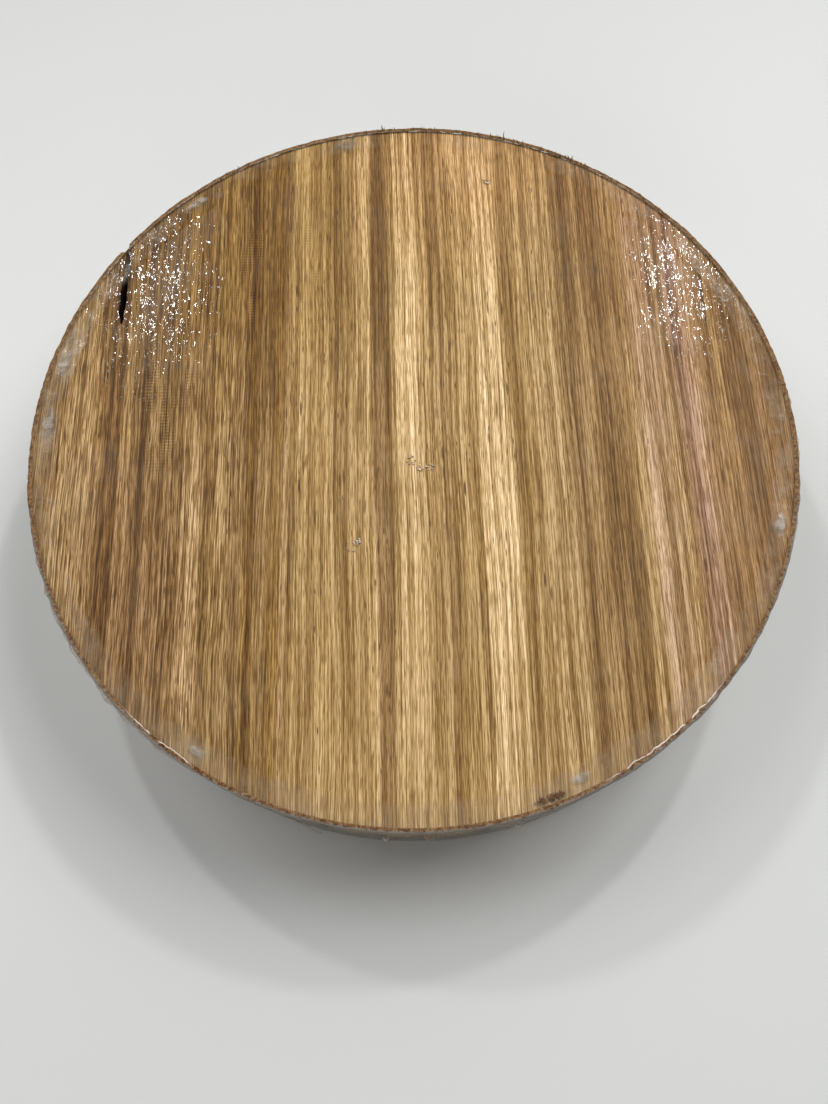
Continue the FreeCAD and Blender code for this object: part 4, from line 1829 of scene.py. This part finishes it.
# ------------------------------------------------------------------ what lies on the upper side
@dataclass
class UpperTrim:
    """Puddles, crumbs, bark, splinters and sawdust on the upper side.

    Args:
        blank: the blank's sizes.
        white: the wax of the puddles.
        crumb: the wax of the crumbs.
        bark: the bark's material.
        fibre: the material of splinters and sawdust.
        fuzz: how many short fibres stand between the splinters.
        grains: how many grains make a crumb.
        flakes: each layer of the bark chip: its share of the length, its lift and its shift along.
    """

    blank: Blank
    white: bpy.types.Material
    crumb: bpy.types.Material
    bark: bpy.types.Material
    fibre: bpy.types.Material
    fuzz: int = 260
    grains: int = 14
    flakes: tuple[tuple[float, float, float], ...] = (
        (1.0, 0.0, 0.0), (0.3, 0.55, 0.55), (0.24, 0.7, -0.5), (0.2, 0.85, 0.05),
    )

    def pools(self) -> bpy.types.Object:
        """Milky puddles on the lap, domed and thin at their ragged edges.

        Returns:
            One piece with a skin for each puddle.
        """
        parts = []
        for number, pool in enumerate(lumps("wax_pools")):
            half_long = pool.sweep * pool.radius / 2
            half_wide = (pool.outer - pool.inner) / 2
            rings, sides = 9, 44
            turns = np.linspace(0, math.tau, sides, endpoint=False)
            circle = np.column_stack([np.cos(turns), np.sin(turns)])
            ragged = 0.92 + 0.08 * np.clip(waves(circle, 60 + number, 1.6), -1, 1)
            base = pool.low.z - 0.12 * MM
            points = [polar(pool.radius, pool.angle, pool.high.z - 0.05 * MM)]
            for ring in range(1, rings + 1):
                share = ring / rings
                height = (pool.high.z - 0.05 * MM - base) * (1 - share ** 2.6)
                for (along, out), edge in zip(circle, ragged):
                    r = pool.radius + out * share * edge * half_wide
                    turn = along * share * edge * half_long / pool.radius
                    points.append(polar(r, pool.angle + turn, base + height))
            faces: list[tuple[int, ...]] = [(0, 1 + k, 1 + (k + 1) % sides) for k in range(sides)]
            for ring in range(rings - 1):
                a, c = 1 + ring * sides, 1 + (ring + 1) * sides
                faces += [(a + k, c + k, c + (k + 1) % sides, a + (k + 1) % sides) for k in range(sides)]
            last = 1 + (rings - 1) * sides
            faces.append(tuple(last + k for k in range(sides - 1, -1, -1)))
            parts.append((points, faces))
        return seat(merge_parts("milky_pools", parts, self.white), Slot.WHITE_WAX, "wax_pools")

    def crumbs(self) -> bpy.types.Object:
        """Crumbs of wax: each a huddle of small broken grains, pressed on the film.

        Returns:
            One piece with a skin for each grain.
        """
        parts = []
        for number, crumb in enumerate(lumps("wax_crumbs")):
            dice = np.random.default_rng(400 + number)
            half = (crumb.high - crumb.low) / 2
            for grain in range(self.grains):
                shape = bmesh.new()
                bmesh.ops.create_icosphere(shape, subdivisions=2, radius=1.0)
                spots = np.array([vertex.co for vertex in shape.verts])
                rough = np.clip(waves(spots, 80 + 10 * number + grain, 1.3, spread=0.6), -1, 1)
                size = min(half.x * 0.7, dice.uniform(0.2, 0.5) * MM)
                out = dice.uniform(0.1, 1) ** 0.5 * (1.7 * half.x - size)
                turn = dice.uniform(0, math.tau)
                flat = dice.uniform(0.55, 1.0)
                tall = min(crumb.high.z - crumb.low.z, size * dice.uniform(0.4, 0.8))
                points = []
                for vertex, height in zip(shape.verts, rough):
                    spot = Vector(vertex.co) * (0.78 + 0.22 * height)
                    points.append(Vector((crumb.centre.x + out * math.cos(turn) + spot.x * size,
                                          crumb.centre.y + out * math.sin(turn) + spot.y * size * flat,
                                          crumb.low.z - 0.05 * MM + max(-0.1, spot.z) * tall)))
                faces = [tuple(vertex.index for vertex in face.verts) for face in shape.faces]
                shape.free()
                parts.append((points, faces))
        return seat(merge_parts("wax_crumb_group", parts, self.crumb), Slot.WHITE_WAX, "wax_crumbs")

    def bark_chip(self) -> bpy.types.Object:
        """A sliver of bark, layered and split at its ends.

        Returns:
            The chip.
        """
        chip = lumps("bark_fleck")[0]
        half_long = chip.sweep * chip.radius / 2
        half_wide = (chip.outer - chip.inner) / 2 * 0.8
        parts = []
        for layer, (reach, lift, slew) in enumerate(self.flakes):
            stations = 26
            spots = np.array([[i * 0.5 * MM, layer * 7 * MM] for i in range(stations)])
            ragged = np.clip(1.3 * waves(spots, 90 + layer, 1.5 * MM), -1, 1)
            strand = Strand(10)
            thick = (chip.high.z - chip.low.z) * 0.42
            for i in range(stations):
                share = i / (stations - 1)
                swing = (share - 0.5) * 2 * half_long * reach * 0.97 + slew * half_long
                body = math.sin(math.pi * share) ** 0.4
                z = chip.low.z + thick * 0.6 + lift * thick
                r = chip.radius + 0.35 * MM * ragged[i - 3]
                wide = half_wide * body * (0.55 + 0.42 * ragged[i]) * (1.2 - 0.2 * reach)
                strand.add(polar(r, chip.angle + swing / chip.radius, z), wide, thick * 0.5 * body,
                           polar(1, chip.angle), Vector((0, 0, 1)))
            parts.append(strand.skin())
        return seat(merge_parts("bark_chip", parts, self.bark), Slot.BARK, "bark_fleck")

    @staticmethod
    def torn_fibre(foot: Vector, tip: Vector, width: float, dice: np.random.Generator) -> Skin:
        """One torn fibre: a flat tapering strip that bends on its way to the tip.

        Args:
            foot: where it leaves the wood.
            tip: its end.
            width: its width at the foot.
            dice: draws its bend.

        Returns:
            Its points and faces.
        """
        rise = tip - foot
        side = Vector((-foot.y, foot.x, 0)).normalized()
        face = rise.cross(side).normalized()
        bend = Vector(dice.normal(0, 0.16, 3)) * rise.length
        bend.z = min(bend.z, 0.0)
        stations = 7
        strand = Strand(6)
        for i in range(stations):
            share = i / (stations - 1)
            body = (1 - share) ** 0.7
            strand.add(foot + rise * share + bend * math.sin(math.pi * share) * 0.5,
                       width / 2 * body, width / 5 * body, side, face)
        return strand.skin()

    def splinters(self) -> bpy.types.Object:
        """Fibres that the saw tore up along the far rim, a few to each tuft.

        Returns:
            One piece with a skin for each fibre.
        """
        parts = []
        for number, spike in enumerate(lumps("saw_splinters")):
            dice = np.random.default_rng(200 + number)
            base = Vector((spike.centre.x, spike.centre.y, spike.low.z - 0.4 * MM))
            tall = spike.high.z - spike.low.z
            parts.append(self.torn_fibre(base, spike.tip, 0.6 * MM, dice))
            along = polar(1, spike.angle + math.pi / 2)
            for _ in range(3):
                shift = along * dice.uniform(-1.6, 1.6) * MM
                length = dice.uniform(0.35, 0.85)
                tip = base + shift + (spike.tip - base) * length + along * dice.uniform(-0.5, 0.5) * tall
                tip.z = min(tip.z, spike.tip.z)
                parts.append(self.torn_fibre(base + shift, tip, dice.uniform(0.3, 0.5) * MM, dice))
        dice = np.random.default_rng(55)
        tufts = lumps("saw_splinters")
        for _ in range(self.fuzz):
            tuft = tufts[dice.integers(len(tufts))]
            angle = tuft.angle + dice.normal(0, 0.045)
            foot = polar(self.blank.timber_radius - dice.uniform(0.0, 0.5) * MM, angle, tuft.low.z - 0.3 * MM)
            lean = polar(dice.uniform(-0.2, 0.9) * MM, angle)
            lean += polar(dice.normal(0, 0.5) * MM, angle + math.pi / 2)
            tip = foot + lean + Vector((0, 0, dice.uniform(0.5, 1.5) * MM))
            parts.append(self.torn_fibre(foot, tip, dice.uniform(0.18, 0.34) * MM, dice))
        return seat(merge_parts("torn_splinters", parts, self.fibre), Slot.TORN_FIBRE, "saw_splinters")

    def sawdust(self) -> bpy.types.Object:
        """Curled chips of sawdust held by the lap.

        Returns:
            One piece with a skin for each chip.
        """
        parts = []
        for number, grain in enumerate(lumps("sawdust_grains")):
            dice = np.random.default_rng(300 + number)
            along = polar(1, grain.angle + math.pi / 2 + dice.uniform(-0.9, 0.9))
            half = grain.sweep * grain.radius / 2
            foot = Vector((grain.centre.x, grain.centre.y, grain.low.z)) - along * half
            tip = Vector((grain.centre.x, grain.centre.y, grain.low.z + 0.2 * MM)) + along * half
            parts.append(self.torn_fibre(foot, tip, 0.4 * MM, dice))
        return seat(merge_parts("sawdust_chips", parts, self.fibre), Slot.TORN_FIBRE, "sawdust_grains")


# ------------------------------------------------------------------ studio
@dataclass(frozen=True)
class Lamp:
    """One soft light, aimed at the middle of the blank.

    Args:
        name: the light's name.
        azimuth: its compass angle from +Y, clockwise, in degrees.
        elevation: its angle above the floor, in degrees.
        distance: how far away it is, in metres.
        width: its width in metres.
        height: its height in metres.
        power: its power in watts.
        warmth: its colour.
    """

    name: str
    azimuth: float
    elevation: float
    distance: float
    width: float
    height: float
    power: float
    warmth: tuple[float, float, float] = (1.0, 1.0, 1.0)

    def place(self, target: Vector) -> None:
        """Adds the light to the scene, aimed at a point.

        Args:
            target: the point, in metres.
        """
        turn, rise = math.radians(self.azimuth), math.radians(self.elevation)
        aim = Vector((math.sin(turn) * math.cos(rise), math.cos(turn) * math.cos(rise), math.sin(rise)))
        light = bpy.data.lights.new(self.name, "AREA")
        light.shape = "RECTANGLE"
        light.size, light.size_y = self.width, self.height
        light.energy = self.power
        light.color = self.warmth
        holder = bpy.data.objects.new(self.name, light)
        holder.location = target + aim * self.distance
        holder.rotation_euler = aim.to_track_quat("Z", "Y").to_euler()
        bpy.context.scene.collection.objects.link(holder)


LAMPS = (
    Lamp("right_window", 60.0, 52.0, 1.8, 0.9, 0.9, 15.4),
    Lamp("left_window", -60.0, 52.0, 1.8, 0.9, 0.9, 8.6),
    Lamp("far_right", 32.0, 36.0, 1.8, 0.9, 0.8, 4.5),
    Lamp("far_left", -32.0, 36.0, 1.8, 0.9, 0.8, 1.5),
    Lamp("near_left", -130.0, 25.0, 1.8, 0.9, 0.9, 4.4),
    Lamp("near", 180.0, 25.0, 1.8, 0.9, 0.9, 4.0),
    Lamp("left_spark", -28.3, 48.6, 1.16, 0.055, 0.075, 2.2),
    Lamp("right_spark", 31.2, 48.6, 1.16, 0.055, 0.075, 2.6),
)


@dataclass
class Studio:
    """Pale floor, soft lights and the camera.

    Args:
        blank: the blank's sizes.
        floor: the floor's material.
        pitch: how far the camera looks down, in degrees.
        roll: its roll in degrees.
        lens: its focal length in millimetres.
        height: its height over the blank, in radii of the blank.
        back: how far in front of the middle it stands, in radii.
        aside: how far to the right, in radii.
        floor_half: half the floor's side in metres.
        fill: the strength of the light from the room.
    """

    blank: Blank
    floor: bpy.types.Material
    pitch: float = 71.09
    roll: float = -1.66
    lens: float = 30.98
    height: float = 2.2397
    back: float = 1.0905
    aside: float = -0.0047
    floor_half: float = 3.0
    fill: float = 0.02

    def build(self) -> None:
        """Adds the floor, the lights and the camera."""
        self.lay_floor()
        target = Vector((0, 0, self.blank.lap_top))
        for lamp in LAMPS:
            lamp.place(target)
        world = bpy.data.worlds.new("soft_room")
        world.use_nodes = True
        sky = world.node_tree.nodes["Background"]
        sky.inputs["Color"].default_value = (0.96, 0.98, 1.0, 1.0)
        sky.inputs["Strength"].default_value = self.fill
        bpy.context.scene.world = world
        bpy.context.scene.view_settings.view_transform = "Standard"
        self.set_camera()

    def lay_floor(self) -> None:
        """A large flat floor under the blank."""
        half, z = self.floor_half, -0.02 * MM
        corners = [(-half, -half, z), (half, -half, z), (half, half, z), (-half, half, z)]
        new_piece("floor", corners, [(0, 1, 2, 3)], [self.floor])

    def set_camera(self) -> None:
        """The camera looks down at the blank from just in front of it."""
        unit = self.blank.coat_radius
        data = bpy.data.cameras.new("camera")
        data.sensor_width = 36.0
        data.lens = self.lens
        data.clip_start = 0.01
        camera = bpy.data.objects.new("camera", data)
        tilt = Matrix.Rotation(math.radians(90 - self.pitch), 4, "X")
        tilt = tilt @ Matrix.Rotation(math.radians(self.roll), 4, "Z")
        spot = Vector((self.aside * unit, -self.back * unit, self.blank.lap_top + self.height * unit))
        camera.matrix_world = Matrix.Translation(spot) @ tilt
        bpy.context.scene.collection.objects.link(camera)
        bpy.context.scene.camera = camera


# ------------------------------------------------------------------ main
def main() -> None:
    """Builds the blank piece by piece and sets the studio."""
    logging.basicConfig(level=logging.INFO, format="%(name)s: %(message)s")
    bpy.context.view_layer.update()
    blank = Blank.from_frame()
    wood = RibbonTimber("ribbon_timber", 0.16, blank.timber_radius / MM, blank.timber_top / MM).build()
    # near-black painted shade for the crack's walls; at the notch by its mouth it is painted shade and dirt
    dark = PlainWood("crack_wall", 0.1, Tone.SOOT, Tone.CHAR, 0.8).build()
    clear = SealingWax("clear_film", 0.5, Tone.HAZE, 0.02, 0.07, 26.0, 3.0, 0.06, 0.25).build()
    under = SealingWax("under_film", 0.5, Tone.HAZE, 0.15, 0.45, 24.0, 9.0, 0.05, 0.3).build()
    milky = SealingWax("milky_coat", 0.5, Tone.WAX, 0.3, 0.65, 9.0, 4.0, 0.12, 0.22).build()
    crack = CrackPlace.from_frame()
    mouth = Zone(crack.x / MM, crack.mouth / MM - 5.0, 1.5, 9.0, 0.3)
    coat = RimWax("rim_wax", 0.5, blank.film_radius / MM, blank.timber_radius / MM,
                  blank.lap_top / MM, mouth).build()
    white = PuddleWax("white_pool", 0.4, blank.lap_top / MM, 0.3, 0.5).build()
    crumb = SealingWax("white_crumb", 0.5, Tone.CHALK, 0.8, 1.0, 1.2, 0.8, 0.04, 0.3).build()
    bark = PlainWood("bark", 0.3, Tone.LINE, Tone.PORE, 0.6).build()
    fibre = PlainWood("torn_fibre", 0.3, Tone.HONEY, Tone.UMBER, 0.8).build()

    Timber(blank, wood, dark, cells=230).build()
    FaceFilms(blank, clear, under, dark, cells=170).build()
    RimCoat(blank, coat, dark, steps=900).build()
    drips = SetWax(blank, milky)
    for make in (drips.runs, drips.brim, drips.nub, drips.curl):
        make()
    trim = UpperTrim(blank, white, crumb, bark, fibre)
    for make in (trim.pools, trim.crumbs, trim.bark_chip, trim.splinters, trim.sawdust):
        make()
    Studio(blank, PaleFloor("pale_floor", 0.3).build()).build()


if __name__ == "__main__":
    main()
